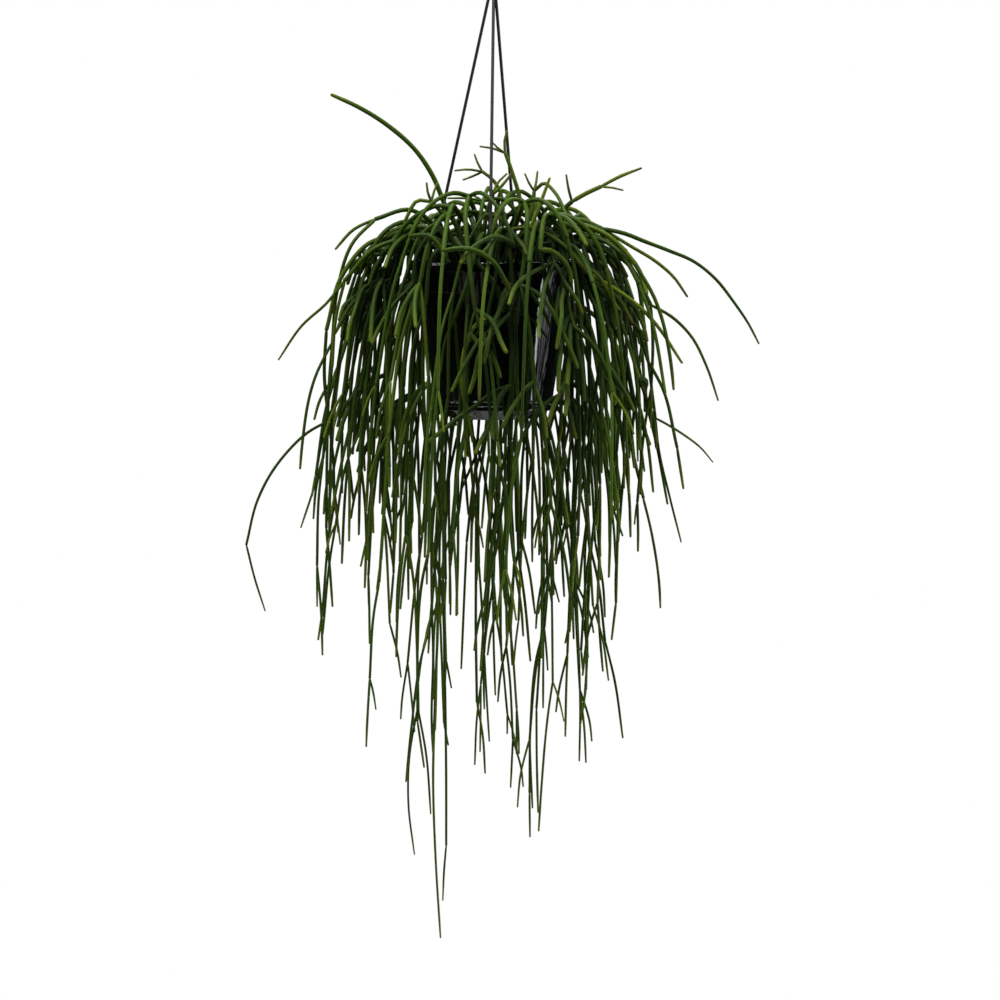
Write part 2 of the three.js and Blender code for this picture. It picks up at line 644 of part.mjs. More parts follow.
        next: [
          { r: [1.2, 0.8], way: [[155, 26, -146], [169, 27, -155], [182, 28, -165], [193, 28, -178]] },
          { r: [1.2, 0.9], way: [[144, 22, -165], [154, 21, -205], [165, 20, -248]] },
        ],
      },
      { r: [1.4, 1.3], way: [[128, 22, -90], [125, 21, -130]], hang: 300 },
    ],
  },
  // a bright young arch low over the right shoulder
  39: {
    r: [2, 1.6],
    way: [[48, -38, 12], [59, -49, 12], [74, -56, -7]],
    next: [
      { r: [1.8, 1.3], way: [[106, -59, -25], [123, -59, -37], [138, -58, -52], [161, -56, -86]] },
      { r: [1.5, 1.4], way: [[80, -60, -40], [82, -60, -90]], hang: 400 },
    ],
  },
  // the left edge, which ends in the long bow
  38: {
    r: [2, 1.7],
    way: [[-72, -6, 20], [-105, -8, 17], [-131, -9, -12], [-143, -9, -60]],
    next: [
      {
        r: [1.5, 1.4],
        way: [[-146, -9, -100], [-144, -9, -139]],
        next: [
          {
            r: [1.3, 1.1],
            way: [
              [-162, -11, -149], [-180, -12, -166], [-195, -13, -186], [-206, -13, -208], [-216, -14, -247],
            ],
            next: [{ r: [1.1, 0.8], way: [[-209, -14, -276], [-200, -14, -305]] }],
          },
          { r: [1.2, 0.9], way: [[-148, -5, -165], [-158, -3, -200], [-169, -2, -233]] },
          { r: [1.3, 1.2], way: [[-140, -14, -170], [-139, -16, -210]], hang: 330 },
        ],
      },
    ],
  },
  // the left shoulder, with a branch that reaches out level with the pot's step
  46: {
    r: [2, 1.7],
    way: [[-70, -34, 18], [-100, -40, 12], [-128, -43, -16]],
    next: [
      { r: [1.5, 1], way: [[-143, -44, -35], [-165, -44, -55], [-185, -44, -84]] },
      { r: [1.5, 1.3], way: [[-136, -42, -50], [-139, -41, -90]], hang: 340 },
    ],
  },
  // the longest strands, a little left of the middle
  41: {
    r: [2, 1.7],
    way: [[-38, -60, 14], [-50, -74, 8], [-58, -84, -36]],
    next: [
      {
        r: [1.6, 1.4],
        way: [[-60, -87, -90], [-57, -87, -160], [-53, -86, -235]],
        next: [
          {
            r: [1.3, 0.9],
            way: [[-48, -92, -290], [-50, -89, -365], [-52, -86, -445], [-50, -83, -512], [-46, -82, -580]],
          },
          {
            r: [1.3, 1],
            way: [[-46, -80, -270], [-42, -79, -360], [-41, -79, -435], [-41, -79, -500]],
            next: [{ r: [0.95, 0.8], way: [[-43, -79, -524], [-44, -79, -548]] }],
          },
          {
            r: [1.3, 1.1],
            way: [[-61, -92, -270], [-65, -93, -330], [-65, -94, -378]],
            next: [
              { r: [1, 0.8], way: [[-72, -94, -420], [-73, -94, -462], [-68, -94, -505]] },
              { r: [1, 0.9], way: [[-58, -92, -420], [-54, -92, -470]] },
            ],
          },
        ],
      },
      { r: [1.5, 1.4], way: [[-68, -90, -70], [-72, -92, -120]], hang: 430 },
    ],
  },
  // the shoot across the front of the pot, with a whorl on the pot's face
  28: {
    r: [2.1, 1.8],
    way: [[-24, -46, 10], [-33, -60, 20], [-26, -76, 12], [-14, -84, 0], [3, -87, -22], [12, -88, -37]],
    next: [
      { r: [1.5, 1.2], way: [[29, -90, -45], [46, -88, -64]] },
      { r: [1.5, 1.2], way: [[14, -86, -62], [16, -85, -88]] },
      { r: [1.5, 1.2], way: [[-4, -92, -50], [-24, -90, -70]] },
    ],
  },
  // beside it, falling to the left
  49: {
    r: [2, 1.7],
    way: [[-9, -62, 18], [-10, -76, 24], [-16, -87, 6], [-24, -90, -22], [-34, -90, -46]],
    next: [
      { r: [1.5, 1.2], way: [[-41, -91, -66], [-45, -90, -92]] },
      { r: [1.5, 1.4], way: [[-31, -87, -75], [-28, -86, -110]], hang: 300 },
    ],
  },
  // the upright strand in front, a little right of the middle
  44: {
    r: [2, 1.7],
    way: [[24, -60, 18], [29, -75, 26], [31, -86, 6], [28, -89, -30], [28, -88, -64]],
    next: [{ r: [1.5, 1.3], way: [[29, -87, -100], [27, -86, -140]], hang: 380 }],
  },
  // the strand that crosses the pot's right edge
  23: {
    r: [2, 1.7],
    way: [[20, -52, 16], [32, -67, 22], [40, -79, 4], [46, -83, -24], [57, -78, -53]],
    next: [
      { r: [1.5, 1.3], way: [[62, -75, -90], [63, -73, -124]], hang: 430 },
      { r: [1.4, 1.2], way: [[70, -76, -70], [74, -76, -100]], hang: 300 },
    ],
  },
  // a shoot of the plant's back
  40: {
    r: [2.1, 1.8],
    way: [[-16, 62, 18], [-24, 82, 28], [-32, 104, 14]],
    next: [
      { r: [1.8, 1.6], way: [[-34, 118, -20], [-36, 124, -70]], hang: 400 },
      { r: [1.6, 1.4], way: [[-48, 114, -4], [-60, 120, -50]], hang: 320 },
      { r: [1.3, 1.1], way: [[-20, 118, 14], [-14, 132, 2]] },
    ],
  },
  // the yellow-green young shoot that bows in front of the saucer
  15: {
    r: [1.9, 1.6],
    way: [[-2, -48, 16], [2, -66, 24], [4, -82, 10], [0, -91, -20], [-5, -93, -46]],
    next: [
      {
        r: [1.8, 1.3],
        way: [[-16, -96, -53], [-24, -97, -70], [-27, -96, -102], [-21, -95, -132], [-18, -94, -151]],
      },
      { r: [1.5, 1.3], way: [[0, -90, -72], [4, -89, -104]], hang: 340 },
    ],
  },
};

function shapedStem(stem, plan, draw) {
  const [thick, thin] = plan.r;
  plan.way.forEach((p, k) => addPoint(stem, p, between(thick, thin, (k + 1) / plan.way.length)));
  for (const next of plan.next || []) shapedStem(branch(stem, 1), next, draw);
  if (plan.hang) branchOut(stem, plan.hang, draw);
}

// Each shoot draws from a row of numbers of its own. Of many such rows these are the ones with which
// the shoots together fill this plant's outline.
const LOTS = [
  35, 80, 85, 0, 101, 37, 0, 106, 129, 0, 113, 17, 52, 97, 92, 86, 0, 39,
  44, 13, 114, 97, 118, 146, 116, 43, 47, 109, 0, 25, 56, 26, 97, 110, 31, 164,
  80, 138, 132, 23, 133, 58, 4, 55, 93, 157, 90, 75, 131, 162, 41, 165, 153, 111,
];
const LOTS_APART = 100;

const sprays = holes.map((hole, i) => {
  const draw = seededDraw(i + 1 + LOTS_APART * LOTS[i]);
  const plan = SHAPED[i];
  if (!plan) return freeShoot(hole, draw);
  const stem = foot(hole, plan.r[0]);
  shapedStem(stem, plan, draw);
  return stem;
});

function everyStem(stem, visit) {
  visit(stem);
  stem.next.forEach((next) => everyStem(next, visit));
}

// ---------------------------------------------------------------- bending clear
// Stems that cross are pushed apart a little at a time, as they lie beside each other on the
// plant, until each is clear of the others, the pot, the soil and the hanger.
const HALF_DIAGONAL = 0.65; // of a strand of the hanger, against its width
const points = [];
const spans = [];

function addSpan(a, b) {
  for (const point of [a, b]) {
    if (point.id === undefined) point.id = points.push(point) - 1;
  }
  spans.push([a.id, b.id]);
}

sprays.forEach((spray) => everyStem(spray, (stem) => {
  for (let k = 1; k < stem.points.length; k++) addSpan(stem.points[k - 1], stem.points[k]);
}));
for (const turn of STRAND_TURNS) {
  const [x, y] = roundPot(turn);
  const place = (out, height, width) => {
    return { p: [x * out, y * out, height], r: (HALF_DIAGONAL * width) / SECTION.swell, fixed: true };
  };
  const tab = (height) => place(STRAND.seat, height, TAB.width);
  addSpan(place(1, HANGER_DROP, STRAND.width), place(STRAND.seat, TAB.top, STRAND.width));
  addSpan(tab(TAB.shoulder + STRAND.lap), tab(STRAND.thick));
}

// How far apart two spans are: the way from one to the other, and where on each, from 0 to 1
function nearest(a, b, c, d) {
  const u = minus(b, a);
  const v = minus(d, c);
  const w = minus(a, c);
  const [uu, vv, uv, uw, vw] = [dot(u, u), dot(v, v), dot(u, v), dot(u, w), dot(v, w)];
  const clamp = (t) => Math.min(1, Math.max(0, t));
  const flat = uu * vv - uv * uv;
  let s = flat > 1e-9 ? clamp((uv * vw - vv * uw) / flat) : 0.5;
  const t = clamp((uv * s + vw) / vv);
  s = clamp((uv * t - uw) / uu);
  return { s, t, way: minus(plus(a, u, s), plus(c, v, t)) };
}

// The push on a place of a stem that is too near the rim, the wall or the soil
function pushOff([x, y, z], r) {
  const need = r * SECTION.swell + CLEAR;
  const out = Math.sqrt(x * x + y * y) || 1;
  const outward = (k) => [(x / out) * k, (y / out) * k, 0];
  const [roll, drop] = [out - ROLL.at, z + ROLL.drop];
  const toRoll = Math.sqrt(roll * roll + drop * drop) || 1;
  if (toRoll < ROLL.radius + need) {
    const k = (ROLL.radius + need - toRoll) / toRoll;
    return plus(outward(roll * k), [0, 0, drop * k]);
  }
  const inside = out < ROLL.at && z > -SOIL.drop;
  if (inside) {
    const floor = SOIL.crown - SOIL.drop + need;
    return z < floor ? [0, 0, floor - z] : [0, 0, 0];
  }
  if (z > -ROLL.drop || -z > SAUCER.bottom + need) return [0, 0, 0];
  const wall = -z < POT.rimDrop + need ? POT.rimRadius : outerWall(-z) + POT.stepIn;
  const body = -z > POT.footDrop - need ? SAUCER.lipRadius : wall;
  return out < body + need ? outward(body + need - out) : [0, 0, 0];
}

// One round of pushing: how many places still touched
function pushApart() {
  const move = points.map(() => ({ sum: [0, 0, 0], count: 0 }));
  const shift = (id, push, share) => {
    if (points[id].fixed) return;
    move[id].sum = plus(move[id].sum, push, share);
    move[id].count += 1;
  };
  // a push at a place t of a span is shared between its two ends
  const spread = ([i, j], t, push) => {
    const even = (1 - t) * (1 - t) + t * t;
    if (t < 1 - PUSH.end) shift(i, push, (1 - t) / even);
    if (t > PUSH.end) shift(j, push, t / even);
  };
  const radiusAt = ([i, j], t) => between(points[i].r, points[j].r, t) * SECTION.swell;
  const middle = spans.map(([i, j]) => times(plus(points[i].p, points[j].p), 0.5));
  const half = spans.map(([i], n) => Math.hypot(...minus(points[i].p, middle[n])));
  let touching = 0;
  for (let m = 0; m < spans.length; m++) {
    const [i, j] = spans[m];
    for (let n = m + 1; n < spans.length; n++) {
      const near = half[m] + half[n] + PUSH.reach;
      const dx = middle[m][0] - middle[n][0];
      const dy = middle[m][1] - middle[n][1];
      const dz = middle[m][2] - middle[n][2];
      if (dx * dx + dy * dy + dz * dz > near * near) continue;
      const [k, l] = spans[n];
      if (i === k || i === l || j === k || j === l) continue;
      const { s, t, way } = nearest(points[i].p, points[j].p, points[k].p, points[l].p);
      const apart = Math.sqrt(dot(way, way)) || 1e-6;
      const need = radiusAt(spans[m], s) + radiusAt(spans[n], t) + CLEAR;
      if (apart >= need) continue;
      touching += 1;
      const push = times(way, (need - apart + PUSH.extra) / apart / 2);
      spread(spans[m], s, push);
      spread(spans[n], t, times(push, -1));
    }
    for (let step = 0; step <= PUSH.places; step++) {
      const t = step / PUSH.places;
      const place = plus(times(points[i].p, 1 - t), points[j].p, t);
      const push = pushOff(place, between(points[i].r, points[j].r, t));
      if (dot(push, push) > 0) {
        spread(spans[m], t, push);
        if (!(points[i].fixed && points[j].fixed)) touching += 1;
      }
    }
  }
  points.forEach((point, id) => {
    const { sum, count } = move[id];
    if (count > 0) point.p = plus(point.p, sum, PUSH.boost / count);
  });
  return touching;
}

let rounds = 0;
while (rounds < ROUNDS && pushApart() > 0) rounds += 1;

// ---------------------------------------------------------------- stems as solids
// A spray is one closed body: three-sided stems, whose ends are three-sided points. A stem
// grows out of one of the three faces of the point that it stands on.
function sprayGeometry(root) {
  const corners = [];
  const faces = [];
  const place = (p) => corners.push([p[0], p[1], p[2] + RIM]) - 1;
  const step = (2 * Math.PI) / SECTION.sides;
  const ring = ({ p, r }, along, side) => {
    const over = cross(along, side);
    return [0, 1, 2].map((k) => {
      const out = plus(times(side, Math.cos(k * step)), over, Math.sin(k * step));
      return place(plus(p, out, r * SECTION.swell));
    });
  };

  function grow(stem, base, firstSide) {
    const { points: way, next } = stem;
    const last = way.length - 1;
    const leave = next.map((side) => unit(minus(side.points[1].p, side.points[0].p)));
    let side = firstSide;
    let below = base;
    let along;
    let shared;
    for (let k = base ? 1 : 0; k <= last; k++) {
      const before = k > 0 ? unit(minus(way[k].p, way[k - 1].p)) : [0, 0, 0];
      const onward = leave.length ? leave.reduce((sum, h) => plus(sum, h)) : before;
      const after = k < last ? unit(minus(way[k + 1].p, way[k].p)) : unit(onward);
      along = unit(plus(before, after));
      side = squared(side, along);
      if (k === last) shared = shareFaces(leave, along, side);
      if (k === last && next.length) side = turnedBy(shared.turn, side, along);
      const above = ring(way[k], along, side);
      if (below) {
        for (let m = 0; m < 3; m++) {
          const [a, b, c, d] = [below[m], below[(m + 1) % 3], above[(m + 1) % 3], above[m]];
          faces.push([a, b, c], [a, c, d]);
        }
      } else {
        faces.push([above[2], above[1], above[0]]);
      }
      below = above;
    }
    const end = way[last];
    const point = place(plus(end.p, along, end.r * SECTION.swell));
    for (let m = 0; m < 3; m++) {
      const [a, b] = [below[m], below[(m + 1) % 3]];
      const child = next[shared.order.indexOf(m)];
      if (child) {
        const middle = times(plus(corners[a], corners[b]), 0.5);
        grow(child, [point, a, b], unit(minus(plus(end.p, [0, 0, RIM]), middle)));
      } else {
        faces.push([a, b, point]);
      }
    }
  }

  grow(root, null, [1, 0, 0]);
  const geometry = new THREE.BufferGeometry();
  geometry.setAttribute('position', new THREE.Float32BufferAttribute(corners.flat(), 3));
  geometry.setIndex(faces.flat());
  geometry.computeVertexNormals();
  return geometry;
}

// A direction across a stem, turned about it
function turnedBy(turn, side, along) {
  return plus(times(side, Math.cos(turn)), cross(along, side), Math.sin(turn));
}

// How far to turn a joint's last ring, and the face by which each heading leaves it: of several turns
// and all the orders of the three faces, the choice in which the worst-placed heading lies best
function shareFaces(headings, along, side) {
  let best = { score: -Infinity };
  for (let t = 0; t < JOINT.turns; t++) {
    const turn = (t / JOINT.turns - 0.5) * JOINT.face;
    const outward = [0, 1, 2].map((m) => {
      const across = turnedBy(turn + (m + 0.5) * JOINT.face, side, along);
      return unit(plus(across, along, JOINT.lean));
    });
    for (const order of JOINT.orders) {
      const score = headings.reduce((sum, heading, n) => sum + dot(heading, outward[order[n]]), 0);
      if (score > best.score) best = { score, turn, order: order.slice(0, headings.length) };
    }
  }
  return best;
}

// ---------------------------------------------------------------- the whole object
const group = new THREE.Group();
function addPiece(name, geometry, material) {
  const mesh = new THREE.Mesh(geometry, material);
  mesh.name = name;
  group.add(mesh);
}

addPiece('hanger', geometryOf(makeHanger()), BLACK_SATIN);
addPiece('pot', geometryOf(makePot()), BLACK_GLOSS);
addPiece('saucer', geometryOf(makeSaucer()), BLACK_GLOSS);
addPiece('soil', geometryOf(makeSoil()), PEAT);
sprays.forEach((spray, i) => {
  const name = `spray_${String(i + 1).padStart(2, '0')}`;
  addPiece(name, sprayGeometry(spray), STEM_GREEN[i % STEM_GREEN.length]);
});

export default group;
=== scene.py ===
# %% [markdown]
# # A mistletoe cactus in its hanging pot
#
# This lesson dresses a finished set of plain solids. The solids fix the sizes and places: a moulded
# pot with its saucer, a hanger of three strands, the soil, and a plant of some fifty rooted sprays.
# Here each of them gets its real surface. A mistletoe cactus has no leaves. It is a tangle of
# smooth round stems, which fork at joints and hang in a curtain, so most of the work is in making
# many round stems that bend well, end well and differ a little in colour.
#
# All sizes in the lesson are in millimetres, and are turned into metres where a mesh is made.

# %% The solids to be dressed
import math

import bmesh
import bpy
import numpy as np
from mathutils import Euler, Matrix, Vector, noise


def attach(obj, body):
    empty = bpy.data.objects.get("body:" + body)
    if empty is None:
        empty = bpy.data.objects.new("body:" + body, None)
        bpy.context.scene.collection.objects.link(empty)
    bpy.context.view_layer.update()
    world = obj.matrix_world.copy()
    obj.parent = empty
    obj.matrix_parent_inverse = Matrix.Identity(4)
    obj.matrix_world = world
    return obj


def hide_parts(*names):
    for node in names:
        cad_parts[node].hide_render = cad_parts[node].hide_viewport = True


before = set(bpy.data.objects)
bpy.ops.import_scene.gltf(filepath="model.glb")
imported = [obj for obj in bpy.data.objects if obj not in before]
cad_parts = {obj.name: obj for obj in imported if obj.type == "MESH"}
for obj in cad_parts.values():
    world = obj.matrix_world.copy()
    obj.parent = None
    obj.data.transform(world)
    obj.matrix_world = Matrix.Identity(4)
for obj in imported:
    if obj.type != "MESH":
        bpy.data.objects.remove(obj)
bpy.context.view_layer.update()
MM = 0.001
sprays_to_dress = sorted(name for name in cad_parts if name.startswith("spray_"))
print("solids to dress:", len(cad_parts), "of which sprays:", len(sprays_to_dress))

# %% [markdown]
# ## Shader sums written as Python
#
# A finish is a small network of nodes. Written out by hand, even `1 - mask` takes three lines.
# So one class wraps a socket and gives it Python's own signs, also where a number stands first:
# each sign adds the Math node that does the sum. Every other node comes from one method, which
# takes the node's type, its settings and what goes into its sockets.

# %% Sockets that can be added and multiplied
class Value:
    """A number that varies over a surface: a socket that Python's signs work on."""

    def __init__(self, finish, socket):
        self.finish = finish
        self.socket = socket

    def sum(self, operation, first, second):
        return self.finish.node("ShaderNodeMath", {"operation": operation}, {0: first, 1: second})

    def __add__(self, other):
        return self.sum("ADD", self, other)

    def __radd__(self, other):
        return self.sum("ADD", other, self)

    def __sub__(self, other):
        return self.sum("SUBTRACT", self, other)

    def __rsub__(self, other):
        return self.sum("SUBTRACT", other, self)

    def __mul__(self, other):
        return self.sum("MULTIPLY", self, other)

    def __rmul__(self, other):
        return self.sum("MULTIPLY", other, self)

    def clamped(self):
        return self.finish.node("ShaderNodeClamp", {}, {"Value": self})


class Finish:
    """A material, built node by node."""

    def __init__(self, name, **constants):
        self.material = bpy.data.materials.new(name)
        self.material.use_nodes = True
        self.tree = self.material.node_tree
        self.shader = self.tree.nodes["Principled BSDF"]
        for socket, constant in constants.items():
            self.shader.inputs[socket.replace("_", " ")].default_value = constant

    def node(self, kind, settings=None, inputs=None, output=0):
        node = self.tree.nodes.new(kind)
        for name, setting in (settings or {}).items():
            if name == "stops":
                self.set_stops(node.color_ramp, setting)
            else:
                setattr(node, name, setting)
        for name, given in (inputs or {}).items():
            self.feed(node.inputs[name], given)
        return Value(self, node.outputs[output])

    def feed(self, socket, given):
        if isinstance(given, Value):
            self.tree.links.new(given.socket, socket)
        else:
            socket.default_value = given

    def set_stops(self, ramp, stops):
        while len(ramp.elements) < len(stops):
            ramp.elements.new(1.0)
        for element, (place, colour) in zip(ramp.elements, stops):
            element.position = place
            element.color = (*colour, 1.0)

    def carried(self, name, output):
        """A number or vector that the mesh carries on its points."""
        return self.node("ShaderNodeAttribute", {"attribute_name": name}, output=output)

    def place(self):
        return self.node("ShaderNodeTexCoord", output="Object")

    def speckle(self, where, scale, detail=2.0, roughness=0.5):
        inputs = {"Vector": where, "Scale": scale, "Detail": detail, "Roughness": roughness}
        return self.node("ShaderNodeTexNoise", {}, inputs)

    def blend(self, share, first, second):
        settings = {"data_type": "RGBA", "clamp_factor": True}
        return self.node("ShaderNodeMix", settings, {0: share, 6: first, 7: second}, output=2)

    def paint(self, **fed):
        for socket, given in fed.items():
            self.feed(self.shader.inputs[socket.replace("_", " ")], given)

    def bump(self, height, strength, distance):
        """The surface raised by height, distance metres where the height is 1."""
        inputs = {"Height": height, "Strength": strength, "Distance": distance}
        normal = self.node("ShaderNodeBump", {}, inputs)
        self.feed(self.shader.inputs["Normal"], normal)


def colour(red, green, blue):
    return (red, green, blue, 1.0)


print("sums work on", Value.__name__, "and nodes come from", Finish.__name__)

# %% [markdown]
# ## The camera, the floor and the studio light
#
# The plant is seen from three metres away with a long lens, a little from above, so that the near
# and the far strands are almost the same size. The light comes mostly from above, with a tall
# softbox on each side: they draw the bright stripes down the glossy pot and a light edge along each
# dark stem. A white surround could fill the shade between the stems, but one as bright as it looks
# would wash them out. So the surround is white to look at, and lights the plant only softly: the
# world mixes two backgrounds by Light Path. The floor is done the same way, as two sheets far
# below: one glows evenly and only the camera sees it, and the other only throws the lamps' light
# back up, as a pale floor does.

# %% Camera
eye = Vector((5.25, -3000.0, -209.9)) * MM
aim = Vector((5.25, 0.0, -481.1)) * MM
camera_data = bpy.data.cameras.new("camera")
camera_data.lens = 123.9
camera_data.sensor_width = 36.0
camera_data.clip_end = 60.0
camera = bpy.data.objects.new("camera", camera_data)
camera.location = eye
camera.rotation_euler = (aim - eye).to_track_quat("-Z", "Y").to_euler()
bpy.context.scene.collection.objects.link(camera)
bpy.context.scene.camera = camera
looks_down = math.degrees(math.atan2(eye.z - aim.z, aim.y - eye.y))
print("camera looks down by", round(looks_down, 2), "degrees")

# %% The floor in two sheets
def own_object(name, mesh, finish=None):
    """An object at the origin, unturned, with its place in its mesh."""
    thing = bpy.data.objects.new(name, mesh)
    bpy.context.scene.collection.objects.link(thing)
    if finish:
        mesh.materials.append(finish.material)
    return thing


def mesh_from(bm, name):
    mesh = bpy.data.meshes.new(name)
    bm.to_mesh(mesh)
    bm.free()
    return mesh


FLOOR_HEIGHT = -2.4  # metres
FLOOR_REACH = 3.0


def wide_sheet(name, height, finish):
    sheet = bmesh.new()
    bmesh.ops.create_grid(sheet, x_segments=1, y_segments=1, size=FLOOR_REACH)
    bmesh.ops.translate(sheet, verts=sheet.verts, vec=(0.0, 0.0, height))
    return own_object(name, mesh_from(sheet, name), finish)


floor_finish = Finish(
    "pale_floor", Base_Color=colour(0.0, 0.0, 0.0), Roughness=0.9, Specular_IOR_Level=0.0,
    Emission_Color=colour(1.0, 1.0, 1.0), Emission_Strength=0.96,
)
floor = wide_sheet("floor", FLOOR_HEIGHT, floor_finish)
floor.visible_diffuse = False
floor.visible_glossy = False
floor.visible_transmission = False
floor.visible_shadow = False
bounce_finish = Finish("light_bounce", Base_Color=colour(0.93, 0.93, 0.93), Roughness=0.9)
bounce_board = wide_sheet("bounce_board", FLOOR_HEIGHT - 0.01, bounce_finish)
bounce_board.visible_camera = False
print("floor at", FLOOR_HEIGHT, "m")

# %% Lamps and the surround
POT_MIDDLE = Vector((0.0, 0.0, -0.33))


def lamp(name, place, size, power, tint):
    """A rectangular lamp that shines at the pot, with its sizes in metres and its power in watts."""
    light = bpy.data.lights.new(name, "AREA")
    light.shape = "RECTANGLE"
    light.size, light.size_y = size
    light.energy = power
    light.color = tint
    thing = bpy.data.objects.new(name, light)
    thing.location = place
    thing.rotation_euler = (POT_MIDDLE - Vector(place)).to_track_quat("-Z", "Y").to_euler()
    bpy.context.scene.collection.objects.link(thing)


lamp("overhead", (-0.3, -0.55, 1.7), (1.3, 1.1), 56.0, (1.0, 0.985, 0.93))
for side in (-1.0, 1.0):
    lamp("side_softbox", (side * 1.9, -0.3, 0.25), (0.9, 1.4), 10.0, (0.99, 1.0, 0.98))
lamp("right_panel", (1.88, 0.2, -0.85), (0.8, 1.6), 5.0, (0.95, 0.97, 1.0))
lamp("right_strip", (1.86, -0.37, -0.85), (0.2, 1.7), 9.0, (0.93, 0.96, 1.0))
lamp("front_fill", (-0.3, -3.2, 0.4), (1.2, 1.2), 2.5, (1.0, 0.99, 0.97))
lamp("back_fill", (0.5, 2.6, 1.3), (1.2, 1.0), 28.0, (1.0, 0.99, 0.95))
surround = bpy.data.worlds.new("surround")
surround.use_nodes = True
surround_tree = surround.node_tree
soft_fill = surround_tree.nodes["Background"]
soft_fill.inputs["Color"].default_value = (0.92, 0.96, 1.0, 1.0)
soft_fill.inputs["Strength"].default_value = 0.012
plain_white = surround_tree.nodes.new("ShaderNodeBackground")
plain_white.inputs["Color"].default_value = (1.0, 1.0, 1.0, 1.0)
seen_or_lit = surround_tree.nodes.new("ShaderNodeMixShader")
light_path = surround_tree.nodes.new("ShaderNodeLightPath")
surround_tree.links.new(light_path.outputs["Is Camera Ray"], seen_or_lit.inputs["Fac"])
surround_tree.links.new(soft_fill.outputs["Background"], seen_or_lit.inputs[1])
surround_tree.links.new(plain_white.outputs["Background"], seen_or_lit.inputs[2])
surround_output = surround_tree.nodes["World Output"]
surround_tree.links.new(seen_or_lit.outputs["Shader"], surround_output.inputs["Surface"])
bpy.context.scene.world = surround
bpy.context.scene.view_settings.view_transform = "Standard"
print("lamps:", len(bpy.data.lights))

# %% [markdown]
# ## Black plastics
#
# The pot and the saucer are moulded in a black plastic with a high gloss. A moulded gloss is never
# quite even: the wall has a faint orange peel, and handling and watering leave paler, duller
# patches. Both come from soft noise, the first as a very low bump and the second in the roughness
# and a little in the colour. The hanger is the same black in a satin moulding, so it is rougher
# and looks greyer where the light grazes it.

# %% Gloss and satin
pot_gloss = Finish("pot_gloss", Specular_IOR_Level=0.55, IOR=1.5)
spot = pot_gloss.place()
smears = pot_gloss.speckle(spot, 22.0, 5.0, 0.65)
drops = pot_gloss.speckle(spot, 190.0, 1.0)
dulled = ((smears - 0.48) * 3.0).clamped() * 0.7 + ((drops - 0.66) * 6.0).clamped() * 0.3
pot_gloss.paint(
    Base_Color=pot_gloss.blend(dulled, colour(0.0018, 0.0021, 0.0026), colour(0.009, 0.010, 0.012)),
    Roughness=dulled * 0.12 + 0.06,
)
pot_gloss.bump(pot_gloss.speckle(spot, 75.0, 2.0), 0.35, 0.0004)

hanger_satin = Finish("hanger_satin", Specular_IOR_Level=0.5, IOR=1.5)
grain = hanger_satin.speckle(hanger_satin.place(), 900.0, 2.0)
hanger_satin.paint(
    Base_Color=hanger_satin.blend(grain, colour(0.022, 0.023, 0.026), colour(0.036, 0.037, 0.041)),
    Roughness=grain * 0.14 + 0.38,
)
hanger_satin.bump(grain, 0.08, 0.0001)
print("finishes:", pot_gloss.material.name, hanger_satin.material.name)

# %% [markdown]
# ## The pot
#
# A pot like this comes out of a round mould, so its wall is one section turned about an axis. The
# section could be a curve with a Screw modifier, but a few points spun in a bmesh keep every
# measure in sight. Under the rim the wall steps in a little, which stops stacked pots from jamming,
# and a bead above the foot ring clips into the saucer. A moulded edge is never sharp, so each
# one is bevelled by a fifth of a millimetre.

# %% A section spun into a round piece
RIM = -272.0
ROUND = 128  # steps round the pot


def spun(section, steps, soften):
    """A bmesh of a section of (radius, depth below the rim) points, spun about the pot's axis."""
    bm = bmesh.new()
    corners = [bm.verts.new((radius * MM, 0.0, (RIM - depth) * MM)) for radius, depth in section]
    edges = [bm.edges.new(pair) for pair in zip(corners, corners[1:])]
    bmesh.ops.spin(
        bm, geom=corners + edges, cent=(0.0, 0.0, 0.0), axis=(0.0, 0.0, 1.0), dvec=(0.0, 0.0, 0.0),
        angle=2.0 * math.pi, steps=steps, use_merge=True, use_duplicate=False,
    )
    bmesh.ops.remove_doubles(bm, verts=bm.verts, dist=1e-6)
    bmesh.ops.recalc_face_normals(bm, faces=bm.faces)
    if soften:
        sharp = [e for e in bm.edges if e.calc_face_angle(0.0) > math.radians(24.0)]
        bmesh.ops.bevel(
            bm, geom=sharp, offset=soften * MM, offset_type="OFFSET", affect="EDGES",
            segments=2, profile=0.5, material=-1,
        )
    for face in bm.faces:
        face.smooth = True
    return bm


def cut_out(thing, cutters):
    """Take the cutters' shapes out of a thing, and keep what is left as its mesh."""
    for cutter in cutters:
        cut = thing.modifiers.new("cut", "BOOLEAN")
        cut.operation = "DIFFERENCE"
        cut.solver = "EXACT"
        cut.object = cutter
    graph = bpy.context.evaluated_depsgraph_get()
    left = bpy.data.meshes.new_from_object(thing.evaluated_get(graph))
    thing.modifiers.clear()
    thing.data = left
    for cutter in cutters:
        bpy.data.objects.remove(cutter)


# %% The pot's measures: radii, and depths below the rim
WALL, TOP, FOOT, FOOT_DROP, STEP, STEP_IN = 1.6, 70.1, 52.2, 119.5, 26.0, 0.8
RIM_RADIUS, RIM_DROP, LEDGE, BASE = 75.25, 8.2, 1.9, 126.0
SAUCER_RADIUS, SAUCER_BASE = 56.4, 136.5
STRAND_TURNS = (-2.4, -135.0, 165.0)  # degrees round the pot from its front
STRAND_SEAT = 71.7
DRAINS, DRAIN_RADIUS, DRAINS_AT = 4, 3.0, 30.0


def outer_wall(depth):
    stepped = STEP_IN if depth > STEP else 0.0
    return TOP - (TOP - FOOT) / FOOT_DROP * depth - stepped


